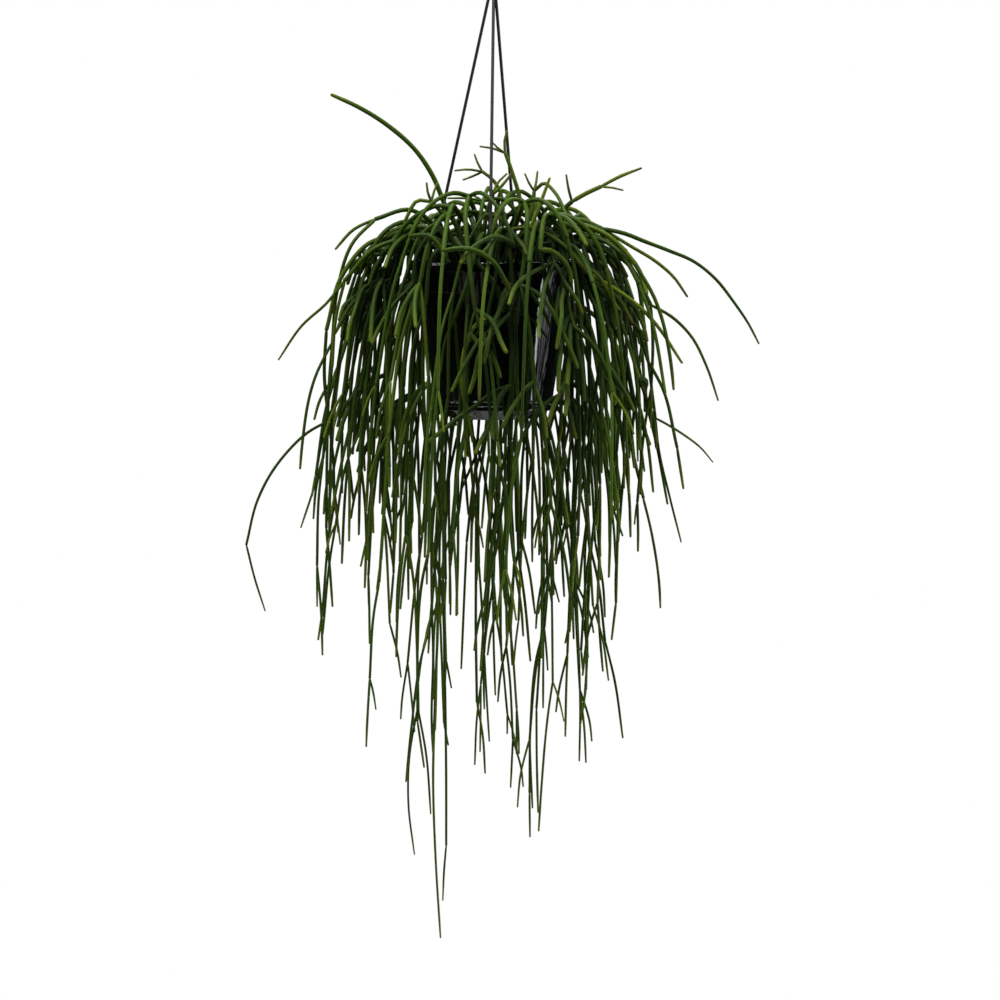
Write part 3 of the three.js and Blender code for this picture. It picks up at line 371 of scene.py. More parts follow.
def round_pot(degrees):
    """The level direction that lies so many degrees round the pot from its front."""
    turn = math.radians(degrees)
    return Vector((math.sin(turn), -math.cos(turn), 0.0))


print("the wall draws in to", round(2.0 * outer_wall(FOOT_DROP), 1), "mm over its foot")

# %% The pot itself
pot_section = [
    (0.0, 123.5), (48.2, 123.5), (48.2, BASE), (51.4, BASE), (52.2, 123.5), (53.2, 123.0),
    (53.2, 120.5), (outer_wall(FOOT_DROP), FOOT_DROP), (outer_wall(26.25), 26.25),
    (outer_wall(STEP), STEP), (outer_wall(LEDGE), LEDGE), (73.65, LEDGE), (73.65, RIM_DROP),
    (74.75, RIM_DROP), (RIM_RADIUS, 0.9), (74.35, 0.0), (outer_wall(0.0) - 1.1, 0.0),
    (outer_wall(0.5) - WALL, 0.5), (outer_wall(STEP) - WALL, STEP), (outer_wall(26.8) - WALL, 26.8),
    (outer_wall(121.9) - WALL, 121.9), (0.0, 121.9),
]
pot = own_object("pot_shell", mesh_from(spun(pot_section, ROUND, 0.2), "pot_shell"), pot_gloss)
openings = []
for turn in STRAND_TURNS:
    slot = bmesh.new()
    bmesh.ops.create_cube(slot, size=1.0)
    bmesh.ops.scale(slot, verts=slot.verts, vec=(5.0 * MM, 2.6 * MM, 5.7 * MM))
    where = (0.0, -STRAND_SEAT * MM, (RIM - LEDGE / 2.0) * MM)
    bmesh.ops.translate(slot, verts=slot.verts, vec=where)
    bmesh.ops.rotate(slot, verts=slot.verts, matrix=Matrix.Rotation(math.radians(turn), 3, "Z"))
    openings.append(own_object("slot", mesh_from(slot, "slot")))
for number in range(DRAINS):
    drain = bmesh.new()
    bmesh.ops.create_cone(
        drain, cap_ends=True, segments=24, depth=8.0 * MM,
        radius1=DRAIN_RADIUS * MM, radius2=DRAIN_RADIUS * MM,
    )
    place = round_pot(360.0 / DRAINS * (number + 0.5)) * DRAINS_AT
    where = (place.x * MM, place.y * MM, (RIM - 123.0) * MM)
    bmesh.ops.translate(drain, verts=drain.verts, vec=where)
    openings.append(own_object("drain", mesh_from(drain, "drain")))
cut_out(pot, openings)
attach(pot, "root")
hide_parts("pot")
print("pot:", len(pot.data.polygons), "faces,", round(pot.dimensions.x * 1000), "mm over its rim")

# %% [markdown]
# ## The saucer
#
# The foot ring stands on a narrow shelf, and below the shelf the saucer draws in to a shallow dish
# that takes the water. It is thinner than the pot, and from below its rim shows as a lip.

# %% The saucer, on the same axis
saucer_section = [
    (0.0, SAUCER_BASE), (38.5, SAUCER_BASE), (46.0, 131.0), (55.7, 127.7), (SAUCER_RADIUS, 124.1),
    (55.7, 123.4), (54.8, 123.4), (54.1, 126.3), (46.0, 126.3), (44.6, 129.6), (37.8, 134.9),
    (0.0, 134.9),
]
saucer_mesh = mesh_from(spun(saucer_section, ROUND, 0.12), "saucer_shell")
saucer = own_object("saucer_shell", saucer_mesh, pot_gloss)
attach(saucer, "root")
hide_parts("saucer")
print("saucer:", len(saucer.data.polygons), "faces")

# %% [markdown]
# ## Bars bent along a path
#
# The hook, the strands and every stem are round bars. A curve object with a bevel would draw them,
# but a mesh of our own can also carry numbers on its points, which the stems need for their
# colour. So there is one straight blank for each number of rings: a cone with equal ends, cut
# along its length. It is then bent: each ring is set square to the path and given its radius.

# %% Straight blanks
blanks = {}


def straight_blank(rings, sides):
    """A closed round bar of radius 1 that stands from 0 to 1 on Z, cut into so many rings."""
    if (rings, sides) not in blanks:
        bm = bmesh.new()
        bmesh.ops.create_cone(
            bm, cap_ends=True, cap_tris=True, segments=sides, radius1=1.0, radius2=1.0, depth=1.0,
        )
        bmesh.ops.translate(bm, verts=bm.verts, vec=(0.0, 0.0, 0.5))
        along = [e for e in bm.edges if abs(e.verts[0].co.z - e.verts[1].co.z) > 0.5]
        bmesh.ops.subdivide_edges(bm, edges=along, cuts=rings - 2)
        for face in bm.faces:
            face.smooth = True
        mesh = mesh_from(bm, "blank")
        points = np.empty(len(mesh.vertices) * 3)
        mesh.vertices.foreach_get("co", points)
        blanks[rings, sides] = (mesh, points.reshape(-1, 3))
    return blanks[rings, sides]


# %% Paths, and a blank bent along one
def lengths_of(rows):
    return np.sqrt((rows * rows).sum(axis=1))


def smooth_path(points, stations):
    """Places on a smooth curve through the points, at these distances from its start."""
    points = np.asarray(points, dtype=float)
    gaps = lengths_of(np.diff(points, axis=0))
    slopes = np.diff(points, axis=0) / gaps[:, None]
    inner = slopes[:-1] * gaps[1:, None] + slopes[1:] * gaps[:-1, None]
    inner = inner / (gaps[:-1] + gaps[1:])[:, None]
    tangents = np.vstack([slopes[:1], inner, slopes[-1:]])
    starts = np.concatenate([[0.0], np.cumsum(gaps)])
    k = np.clip(np.searchsorted(starts, stations, side="right") - 1, 0, len(gaps) - 1)
    t = ((stations - starts[k]) / gaps[k])[:, None]
    gap = gaps[k][:, None]
    return (
        points[k] * (1 + 2 * t) * (1 - t) ** 2 + tangents[k] * gap * t * (1 - t) ** 2
        + points[k + 1] * t * t * (3 - 2 * t) - tangents[k + 1] * gap * t * t * (1 - t)
    )


def unit_rows(rows):
    return rows / np.maximum(lengths_of(rows), 1e-9)[:, None]


def frames_along(path):
    """For each ring of a path, the way it looks and two directions square to that, free of twist."""
    forward = unit_rows(np.gradient(path, axis=0))
    helper = np.array([1.0, 0.0, 0.0]) if abs(forward[0][0]) < 0.8 else np.array([0.0, 1.0, 0.0])
    sides = [helper - forward[0] * (helper @ forward[0])]
    for ahead in forward[1:]:
        sides.append(sides[-1] - ahead * (sides[-1] @ ahead))
    sides = unit_rows(np.array(sides))
    return sides, np.cross(forward, sides)


def add_bent(bm, path, radii, sides=10, flat=1.0):
    """Add a blank to a bmesh, bent along a path in millimetres, and return its points and rings."""
    blank, rest = straight_blank(len(path), sides)
    first = len(bm.verts)
    bm.from_mesh(blank)
    bm.verts.ensure_lookup_table()
    ring = np.rint(rest[:, 2] * (len(path) - 1)).astype(int)
    side, over = frames_along(path)
    across = side[ring] * rest[:, :1] + over[ring] * rest[:, 1:2] * flat
    places = path[ring] + across * np.asarray(radii)[ring][:, None]
    added = bm.verts[first:]
    for vert, place in zip(added, places * MM):
        vert.co = place
    return added, ring, rest


print("a blank of 12 rings has", len(straight_blank(12, 10)[0].polygons), "faces")

# %% [markdown]
# ## The hanger
#
# The hanger is one moulding: a hook, a boss where three strands run together, and at the foot of each
# strand a flat tab, whose barb snaps through a slot in the rim. Hook and strands are bent blanks,
# the boss is spun, and the tabs are plates that are drawn flat, extruded and bevelled.

# %% The hook
CROOK, ROD, STRAND = 6.6, 1.55, 1.36  # the crook's middle line, and the bars' radii
APEX = -28.0  # where the strands run together, below the point on which the hook bears
TAB_BACK, TAB_THICK = 70.7, 2.0


def crook(degrees):
    turn = math.radians(degrees)
    return (CROOK * math.sin(turn), 0.0, CROOK * math.cos(turn) - 5.0)


hanger = bmesh.new()
hook_points = [
    (0.0, 0.0, -24.0), (0.0, 0.0, -22.0), (4.8, 0.0, -15.5), crook(110), crook(80), crook(49),
    crook(20), crook(-10), crook(-40), crook(-70), crook(-98), (-CROOK, 0.0, -10.0),
]
hook_length = float(lengths_of(np.diff(np.array(hook_points), axis=0)).sum())
hook_stations = np.arange(0.0, hook_length - 1.5, 1.0)
hook_stations = np.concatenate([hook_stations, hook_length - np.array([0.8, 0.3, 0.0])])
hook_radii = np.full(len(hook_stations), ROD)
hook_radii[-3:] = 1.45, 1.1, 0.5
add_bent(hanger, smooth_path(hook_points, hook_stations), hook_radii, 16)
print("hook: a bar", round(hook_length, 1), "mm long")

# %% The boss
boss_section = [  # radii, and depths below the point on which the hook bears
    (0.0, 38.0), (3.4, 37.2), (5.2, 35.0), (4.4, 28.0), (3.6, 21.0), (3.2, 20.0), (0.0, 20.0),
]
boss = spun([(radius, RIM + below_hook) for radius, below_hook in boss_section], 48, 0.25)
boss_mesh = mesh_from(boss, "boss")
hanger.from_mesh(boss_mesh)
print("boss:", len(boss_mesh.polygons), "faces")

# %% Strands and tabs
half_tab = [(1.4, 24.0), (2.8, 12.0), (2.8, 0.3), (2.2, 0.3), (2.2, -2.2), (3.4, -2.2), (1.5, -6.6)]
for turn in STRAND_TURNS:
    out = np.array(round_pot(turn))
    head = out + np.array([0.0, 0.0, APEX])
    foot = out * STRAND_SEAT + np.array([0.0, 0.0, RIM + 20.0])
    path = head + (foot - head) * np.linspace(0.0, 1.0, 24)[:, None]
    add_bent(hanger, path, np.full(len(path), STRAND), 12, flat=0.8)

    tab = bmesh.new()
    outline = [*half_tab, *[(-x, z) for x, z in reversed(half_tab)]]
    corners = [tab.verts.new((x * MM, -TAB_BACK * MM, (RIM + z) * MM)) for x, z in outline]
    face = tab.faces.new(corners)
    moved = bmesh.ops.extrude_face_region(tab, geom=[face])["geom"]
    moved = [part for part in moved if isinstance(part, bmesh.types.BMVert)]
    bmesh.ops.translate(tab, verts=moved, vec=(0.0, -TAB_THICK * MM, 0.0))
    bmesh.ops.recalc_face_normals(tab, faces=tab.faces)
    bmesh.ops.bevel(
        tab, geom=tab.edges, offset=0.25 * MM, offset_type="OFFSET", affect="EDGES",
        segments=2, profile=0.5, material=-1,
    )
    bmesh.ops.rotate(tab, verts=tab.verts, matrix=Matrix.Rotation(math.radians(turn), 3, "Z"))
    tab_mesh = mesh_from(tab, "tab")
    hanger.from_mesh(tab_mesh)
hanger_piece = own_object("hanger_moulding", mesh_from(hanger, "hanger_moulding"), hanger_satin)
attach(hanger_piece, "root")
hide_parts("hanger")
hanger_high = round(hanger_piece.dimensions.z * 1000)
print("hanger:", len(hanger_piece.data.polygons), "faces,", hanger_high, "mm high")

# %% [markdown]
# ## How the plant grows
#
# A mistletoe cactus grows in joints. A stem runs for a hand's breadth and stops, and one to
# three new stems start from its end. The first go up out of the soil and arch over the rim, and the
# rest hang. The solids were grown by the rules below, with lots drawn from a seeded row of
# numbers, so the same rules with the same seeds give the same plant here, and every stem can be
# made smooth in its own place. Heights in this part are measured from the rim.

# %% Lots and small sums
DOWN = np.array([0.0, 0.0, -1.0])


def seeded_draw(seed):
    """A function that draws the same numbers between 0 and 1 each time for one seed."""
    state = (seed * 7919 + 12345) % 2147483647

    def draw():
        nonlocal state
        state = state * 48271 % 2147483647
        return state / 2147483647

    for _ in range(5):
        draw()
    return draw


def between(a, b, t):
    return a + (b - a) * t


def unit(v):
    return v / (math.sqrt(v @ v) or 1.0)


def squared(v, along):
    return unit(v - along * (v @ along))


def vector(x, y, z):
    return np.array([x, y, z], dtype=float)


# %% What a stem is
class Point:
    """A place on a stem, with the stem's radius there. The foot of a shoot is held by the soil."""

    def __init__(self, place, radius, held=False):
        self.p = place
        self.r = radius
        self.held = held


class Stem:
    """One joint of growth. It shares its first point with the end of the stem it grows from."""

    def __init__(self, first, fresh=0.0):
        self.points = [first]
        self.next = []
        self.fresh = fresh
        self.twig = False
        self.rooted = False

    def end(self):
        return self.points[-1]

    def add(self, place, radius):
        self.points.append(Point(place, radius))

    def heading(self):
        return unit(self.points[-1].p - self.points[-2].p)

    def branch(self, thinner):
        side = Stem(self.end(), self.fresh)
        side.r = self.end().r * thinner
        self.next.append(side)
        return side


# %% Where the shoots stand and how deep strands may hang
SHOOTS, BED, SOIL_DROP = 54, 58.0, 16.0
GOLDEN_TURN = 137.508  # degrees from one hole to the next, as in a sunflower
HEM = [  # how deep the strands hang, by how far left or right of the middle
    (-185, 40), (-165, 100), (-152, 270), (-135, 295), (-112, 345), (-85, 450), (-50, 500),
    (-20, 465), (10, 485), (55, 515), (72, 450), (88, 380), (105, 330), (116, 240), (128, 160),
    (150, 80), (185, 50),
]


def hem_depth(x):
    return float(np.interp(x, [edge for edge, _ in HEM], [depth for _, depth in HEM]))


def strand_depth(place, draw):
    in_front = place[1] < 0.0 and abs(place[0]) < 40.0
    short = between(45.0, 130.0, draw())
    return short if in_front and draw() < 0.35 else hem_depth(place[0])


# %% Growing on from a joint
FORK_TILTS = ((5, 11), (8, 18), (12, 30))  # degrees off the stem, least and most
FIRST_LENGTH = 14.0


def fan(heading, tilts, draw):
    """The headings of up to three stems that fan out evenly round the end of a stem."""
    u = squared(vector(1, 0, 0) if abs(heading[2]) > 0.9 else vector(0, 0, 1), heading)
    v = np.cross(heading, u)
    start = 2.0 * math.pi * draw()
    headings = []
    for k, degrees in enumerate(tilts):
        turn = start + 2.0 * math.pi / 3.0 * k + 0.25 * (2.0 * draw() - 1.0)
        out = u * math.cos(turn) + v * math.sin(turn)
        tilt = math.radians(degrees)
        headings.append(unit(heading * math.cos(tilt) + out * math.sin(tilt)))
    return headings


def hang(stem, heading, end_depth, draw):
    length = between(85.0, 165.0, draw())
    steps = max(2, math.floor(length / 58.0 + 0.5))
    along = heading
    r = stem.r
    for k in range(steps):
        start = stem.end().p
        sway = vector(draw() - 0.5, draw() - 0.5, 0.0)
        r = min(r, between(1.5, 1.0, min(1.0, max(0.0, -start[2] / 380.0))))
        share = (length / steps) * (0.6 if k == 0 else 1.2)
        stem.add(start + along * max(FIRST_LENGTH, min(share, end_depth + start[2])), r)
        along = unit(along + DOWN * 0.95 + sway * 0.13)
        if -stem.end().p[2] > end_depth - 8.0:
            return
    branch_out(stem, end_depth, draw)


def branch_out(stem, end_depth, draw):
    depth = -stem.end().p[2]
    full = strand_depth(stem.end().p, draw)
    lot = draw()
    tilts = [between(least, most, draw()) for least, most in FORK_TILTS]
    onward, beside, aside = fan(stem.heading(), tilts, draw)
    if end_depth - depth > 15.0:
        hang(stem.branch(0.95), onward, end_depth, draw)
    if lot < 0.58 and full - depth > 60.0:
        hang(stem.branch(0.9), beside, between(depth + 40.0, full, draw() ** 2), draw)
    if lot > 0.78:
        twig(stem.branch(0.85), aside, draw)


def twig(stem, heading, draw):
    half = between(20.0, 50.0, draw()) / 2.0
    r = min(1.2, stem.r)
    second = unit(heading + DOWN * 0.5)
    stem.add(stem.end().p + heading * half, r)
    stem.add(stem.end().p + second * half, r * 0.9)
    stem.twig = True


# %% Branches at the crest of a shoot
def turned_level(heading, degrees):
    turn = math.radians(degrees)
    x, y = heading[0], heading[1]
    across = x * math.cos(turn) - y * math.sin(turn)
    ahead = x * math.sin(turn) + y * math.cos(turn)
    return unit(vector(across, ahead, 0.0))


def arched_branch(stem, heading, way, hangs, draw):
    along = unit(turned_level(heading, way * between(24.0, 54.0, draw())) - DOWN * 0.2)
    bend = between(0.4, 0.75, draw())
    step = between(14.0, 24.0, draw())
    for k in range(4):
        stem.add(stem.end().p + along * (FIRST_LENGTH if k == 0 else step), stem.r)
        along = unit(along + DOWN * bend)
    if hangs:
        full = strand_depth(stem.end().p, draw)
        depth = max(-stem.end().p[2] + 30.0, full * between(0.2, 0.7, draw()))
        hang(stem.branch(0.95), along, depth, draw)


# %% A shoot left to itself
def foot(hole, r):
    x, y = hole[0] * math.cos(hole[1]), hole[0] * math.sin(hole[1])
    stem = Stem(Point(vector(x, y, -SOIL_DROP - 12.0), r, True))
    stem.points.append(Point(vector(x, y, -SOIL_DROP + 7.0), r, True))
    stem.rooted = True
    return stem


def free_shoot(hole, draw):
    r = between(2.15, 1.75, 0.5 * draw())
    stem = foot(hole, r)
    out_of_middle, bearing = hole
    inner = 1.0 - out_of_middle / BED

    def either(at_edge, at_middle):
        return math.radians(between(at_edge, at_middle, inner) * (draw() - 0.5))

    reach = 80.0 + 36.0 * draw() ** 1.3 - out_of_middle
    low = stem.end().p[2]
    crest = between(6.0, 54.0, inner) + 24.0 * draw()
    shoulder = between(-15.0, -60.0, draw())
    crest_at = between(0.34, 0.5, draw())
    drift = either(60.0, 120.0)
    start = bearing + either(20.0, 150.0)

    def arch(along, degrees, height):
        out = out_of_middle + reach * along
        turn = start + drift * degrees / 210.0
        return vector(out * math.cos(turn), out * math.sin(turn), height)

    for degrees in (35.0, 90.0):
        a = math.radians(degrees)
        stem.add(arch(crest_at * (1.0 - math.cos(a)), degrees, between(low, crest, math.sin(a))), r)
    over = stem.branch(0.95)
    for degrees in (26.0, 52.0, 80.0):
        a = math.radians(degrees)
        height = between(shoulder, crest, math.cos(a))
        place = arch(between(crest_at, 1.0, math.sin(a)), 90.0 + degrees, height)
        over.add(place, between(r, 1.75, degrees / 90.0))

    leaving = unit(over.points[1].p - over.points[0].p)
    side = -1.0 if drift > 0.0 else 1.0
    if draw() < 0.95:
        arched_branch(stem.branch(0.9), leaving, side, True, draw)
    arched_branch(stem.branch(0.85), leaving, -side * between(1.1, 1.9, draw()), False, draw)

    first, second, third = fan(over.heading(), (6.0, 20.0, 24.0), draw)
    full = strand_depth(over.end().p, draw)
    hang(over.branch(0.95), first, full * between(0.4, 0.95, draw() ** 1.5), draw)
    hang(over.branch(0.9), second, full * between(0.25, 0.75, draw()), draw)
    if draw() < 0.75:
        hang(over.branch(0.85), third, full * between(0.25, 0.6, draw()), draw)
    else:
        twig(over.branch(0.85), third, draw)
    return stem


# %% [markdown]
# ## Shoots with a shape of their own
#
# Left to the rules alone, the plant would be like this one in its habit, but not in its outline.
# So the shoots that make its outline are given one by one: where they pass, how thick they are,
# and what grows from their ends. The holes in the soil are numbered outward from the middle.

# %% The plan of a shoot, and the shoots that have one
class Plan:
    """Where a stem passes, its thickness at both ends, and what grows from its end."""

    def __init__(self, radii, way, further=(), hang=None, fresh=False):
        self.radii = radii
        self.way = way
        self.further = further
        self.hang = hang
        self.fresh = fresh


SHAPED = {
    # a fork that points to the left, close under the hook
    0: Plan((1.9, 1.6), [(13, -4, 18), (19, -3, 42), (8, 0, 53), (-10, 2, 52)], [
        Plan((1.2, 1), [(-25, 1, 54), (-40, 0, 54)]),
        Plan((1.2, 1), [(-17, 5, 56), (-25, 6, 58)]),
    ]),
    # two straight young shoots beside the front strand
    2: Plan((1.9, 1.7), [(-8, -15, 18), (-6, -16, 42), (-1, -16, 57)], [
        Plan((1.5, 1.2), [(8, -19, 66), (15, -18, 75)]),
        Plan((1.3, 1.1), [(3, -10, 67), (11, -8, 75)]),
        Plan((1.7, 1.5), [
            (-4, -26, 63), (-8, -44, 50), (-12, -64, 26), (-18, -80, 0), (-22, -86, -34),
        ], hang=150),
    ]),
    # a bright straight shoot, leaning out to the right
    5: Plan((1.9, 1.4), [(26, -14, 14), (33, -16, 32), (41, -17, 52), (48, -18, 71)], fresh=True),
    # two arches over the front, from one foot
    7: Plan((2.1, 1.9), [(-4, -24, 14), (-3, -29, 29), (-4, -40, 39)], [
        Plan((1.7, 1.3), [
            (-16, -46, 42), (-36, -47, 38), (-60, -49, 22), (-76, -53, -14), (-92, -56, -66),
        ]),
        Plan((1.7, 1.4), [(5, -52, 38), (16, -64, 23), (29, -79, 0)]),
        Plan((1.6, 1.5), [(-10, -56, 37), (-24, -74, 14), (-34, -85, -24)], hang=330),
    ]),
    # the upright cluster right of the middle, with an arch out of it
    8: Plan((1.9, 1.6), [(28, 8, 28), (34, 8, 48), (35, 8, 60)], [
        Plan((1.2, 1), [(30, 5, 68), (27, 4, 75)]),
        Plan((1.3, 1.1), [(37, 15, 69), (38, 18, 77)]),
        Plan((1.5, 1.4), [
            (43, 3, 67), (52, -7, 60), (61, -20, 43), (69, -37, 20), (75, -52, -12),
        ], hang=220),
    ]),
    # a fork over the left shoulder
    12: Plan((1.9, 1.6), [(-38, -16, 20), (-44, -17, 40), (-54, -18, 51)], [
        Plan((1.3, 1.1), [(-57, -20, 59), (-58, -21, 67)]),
        Plan((1.3, 1.1), [(-52, -14, 59), (-49, -12, 67)]),
        Plan((1.6, 1.4), [(-66, -19, 52), (-74, -20, 40), (-82, -21, 6), (-96, -22, -34)], hang=260),
    ]),
    # the thick young shoot that stands highest, over the left side
    9: Plan((2.3, 1.7), [
        (-31, 8, 26), (-43, 5, 49), (-52, 3, 71), (-66, 1, 93), (-95, -2, 119), (-118, -4, 133),
        (-140, -6, 143),
    ]),
    # the upright whorl in the middle
    3: Plan((1.9, 1.6), [(17, 16, 22), (23, 16, 49), (17, 15, 73), (10, 14, 93)], [
        Plan((1.3, 1.1), [(9, 14, 102), (11, 13, 112)]),
        Plan((1.2, 1), [(4, 9, 97), (-2, 6, 103)]),
        Plan((1.2, 1), [(0, 18, 97), (-12, 20, 99)]),
    ]),
    # the whorl to the left of it
    6: Plan((1.8, 1.4), [(4, 24, 30), (6, 26, 55), (-1, 26, 70), (-10, 25, 77)], [
        Plan((1.2, 1), [(-22, 21, 79), (-34, 18, 78)]),
        Plan((1.2, 1), [(-19, 28, 73), (-27, 30, 70)]),
        Plan((1.2, 1), [(-14, 25, 84), (-17, 25, 92)]),
    ]),
    # the arch over the left edge
    22: Plan((2, 1.7), [(-48, 20, 24), (-75, 14, 42), (-103, 8, 36)], [
        Plan((1.5, 1.2), [(-122, 7, 27), (-138, 6, 10)]),
        Plan((1.5, 1.4), [(-122, -4, 16), (-137, -8, -26), (-143, -9, -70)], hang=300),
    ]),
    # the fork that stands out over the right shoulder
    16: Plan((2.1, 1.9), [(42, 20, 22), (58, 17, 42), (68, 15, 51)], [
        Plan((1.9, 1.7), [(80, 13, 58), (93, 12, 64)], [
            Plan((1.6, 1.2), [(110, 10, 73), (128, 8, 80)]),
            Plan((1.2, 1), [(104, 8, 63), (112, 6, 61)]),
        ]),
        Plan((1.3, 1.1), [(65, 13, 62), (63, 12, 74)]),
    ]),
    # the long arch to the right, with a shorter one beside it
    13: Plan((2.1, 1.9), [(50, -10, 24), (72, -14, 34), (93, -17, 28)], [
        Plan((1.8, 1), [
            (112, -19, 24), (130, -21, 17), (151, -22, 9), (172, -23, 0), (191, -24, -15),
            (207, -24, -35), (220, -24, -54), (229, -24, -71),
        ]),
        Plan((1.6, 1.2), [(118, -8, 13), (141, -5, -1), (156, -4, -14), (168, -4, -31)]),
        Plan((1.5, 1.3), [(103, -30, 8), (112, -40, -30), (114, -44, -80)], hang=330),
    ]),
    # the right shoulder, with a branch that reaches out half way down the pot
    21: Plan((2, 1.7), [(58, 1, 20), (86, -4, 18), (116, -8, -4), (136, -10, -38)], [
        Plan((1.5, 1), [(155, -10, -49), (171, -10, -65), (185, -10, -92), (195, -10, -121)]),
        Plan((1.5, 1.3), [(138, -8, -70), (137, -8, -110)], hang=250),
    ]),
    # the right edge, which ends in two long thin tips
    42: Plan((2, 1.7), [(72, 18, 20), (100, 22, 16), (123, 24, -12), (132, 24, -60)], [
        Plan((1.5, 1.3), [(137, 24, -100), (141, 24, -139)], [
            Plan((1.2, 0.8), [(155, 26, -146), (169, 27, -155), (182, 28, -165), (193, 28, -178)]),
            Plan((1.2, 0.9), [(144, 22, -165), (154, 21, -205), (165, 20, -248)]),
        ]),
        Plan((1.4, 1.3), [(128, 22, -90), (125, 21, -130)], hang=300),
    ]),
    # a bright young arch low over the right shoulder
    39: Plan((2, 1.6), [(48, -38, 12), (59, -49, 12), (74, -56, -7)], [
        Plan((1.8, 1.3), [
            (106, -59, -25), (123, -59, -37), (138, -58, -52), (161, -56, -86),
        ], fresh=True),
        Plan((1.5, 1.4), [(80, -60, -40), (82, -60, -90)], hang=400),
    ]),
    # the left edge, which ends in the long bow
    38: Plan((2, 1.7), [(-72, -6, 20), (-105, -8, 17), (-131, -9, -12), (-143, -9, -60)], [
        Plan((1.5, 1.4), [(-146, -9, -100), (-144, -9, -139)], [
            Plan((1.3, 1.1), [
                (-162, -11, -149), (-180, -12, -166), (-195, -13, -186), (-206, -13, -208),
                (-216, -14, -247),
            ], [
                Plan((1.1, 0.8), [(-209, -14, -276), (-200, -14, -305)]),
            ]),
            Plan((1.2, 0.9), [(-148, -5, -165), (-158, -3, -200), (-169, -2, -233)]),
            Plan((1.3, 1.2), [(-140, -14, -170), (-139, -16, -210)], hang=330),
        ]),
    ]),
    # the left shoulder, with a branch that reaches out level with the pot's step
    46: Plan((2, 1.7), [(-70, -34, 18), (-100, -40, 12), (-128, -43, -16)], [
        Plan((1.5, 1), [(-143, -44, -35), (-165, -44, -55), (-185, -44, -84)]),
        Plan((1.5, 1.3), [(-136, -42, -50), (-139, -41, -90)], hang=340),
    ]),
    # the longest strands, a little left of the middle
    41: Plan((2, 1.7), [(-38, -60, 14), (-50, -74, 8), (-58, -84, -36)], [
        Plan((1.6, 1.4), [(-60, -87, -90), (-57, -87, -160), (-53, -86, -235)], [
            Plan((1.3, 0.9), [
                (-48, -92, -290), (-50, -89, -365), (-52, -86, -445), (-50, -83, -512),
                (-46, -82, -580),
            ]),
            Plan((1.3, 1), [(-46, -80, -270), (-42, -79, -360), (-41, -79, -435), (-41, -79, -500)], [
                Plan((0.95, 0.8), [(-43, -79, -524), (-44, -79, -548)]),
            ]),
            Plan((1.3, 1.1), [(-61, -92, -270), (-65, -93, -330), (-65, -94, -378)], [
                Plan((1, 0.8), [(-72, -94, -420), (-73, -94, -462), (-68, -94, -505)]),
                Plan((1, 0.9), [(-58, -92, -420), (-54, -92, -470)]),
            ]),
        ]),
        Plan((1.5, 1.4), [(-68, -90, -70), (-72, -92, -120)], hang=430),
    ]),
    # the shoot across the front of the pot, with a whorl on the pot's face
    28: Plan((2.1, 1.8), [
        (-24, -46, 10), (-33, -60, 20), (-26, -76, 12), (-14, -84, 0), (3, -87, -22), (12, -88, -37),
    ], [
        Plan((1.5, 1.2), [(29, -90, -45), (46, -88, -64)]),
        Plan((1.5, 1.2), [(14, -86, -62), (16, -85, -88)]),
        Plan((1.5, 1.2), [(-4, -92, -50), (-24, -90, -70)]),
    ]),
    # beside it, falling to the left
    49: Plan((2, 1.7), [
        (-9, -62, 18), (-10, -76, 24), (-16, -87, 6), (-24, -90, -22), (-34, -90, -46),
    ], [
        Plan((1.5, 1.2), [(-41, -91, -66), (-45, -90, -92)]),
        Plan((1.5, 1.4), [(-31, -87, -75), (-28, -86, -110)], hang=300),
    ]),
    # the upright strand in front, a little right of the middle
    44: Plan((2, 1.7), [(24, -60, 18), (29, -75, 26), (31, -86, 6), (28, -89, -30), (28, -88, -64)], [
        Plan((1.5, 1.3), [(29, -87, -100), (27, -86, -140)], hang=380),
    ]),
    # the strand that crosses the pot's right edge
    23: Plan((2, 1.7), [(20, -52, 16), (32, -67, 22), (40, -79, 4), (46, -83, -24), (57, -78, -53)], [
        Plan((1.5, 1.3), [(62, -75, -90), (63, -73, -124)], hang=430),
        Plan((1.4, 1.2), [(70, -76, -70), (74, -76, -100)], hang=300),
    ]),
    # a shoot of the plant's back
    40: Plan((2.1, 1.8), [(-16, 62, 18), (-24, 82, 28), (-32, 104, 14)], [
        Plan((1.8, 1.6), [(-34, 118, -20), (-36, 124, -70)], hang=400),
        Plan((1.6, 1.4), [(-48, 114, -4), (-60, 120, -50)], hang=320),
        Plan((1.3, 1.1), [(-20, 118, 14), (-14, 132, 2)]),
    ]),
    # the yellow-green young shoot that bows in front of the saucer
    15: Plan((1.9, 1.6), [(-2, -48, 16), (2, -66, 24), (4, -82, 10), (0, -91, -20), (-5, -93, -46)], [
        Plan((1.8, 1.3), [
            (-16, -96, -53), (-24, -97, -70), (-27, -96, -102), (-21, -95, -132), (-18, -94, -151),
        ], fresh=True),
        Plan((1.5, 1.3), [(0, -90, -72), (4, -89, -104)], hang=340),
    ]),
}


def shaped_stem(stem, plan, draw):
    stem.fresh = 1.0 if plan.fresh else 0.0
    for k, place in enumerate(plan.way):
        stem.add(vector(*place), between(*plan.radii, (k + 1) / len(plan.way)))
    for further in plan.further:
        shaped_stem(stem.branch(1.0), further, draw)
    if plan.hang:
        branch_out(stem, plan.hang, draw)


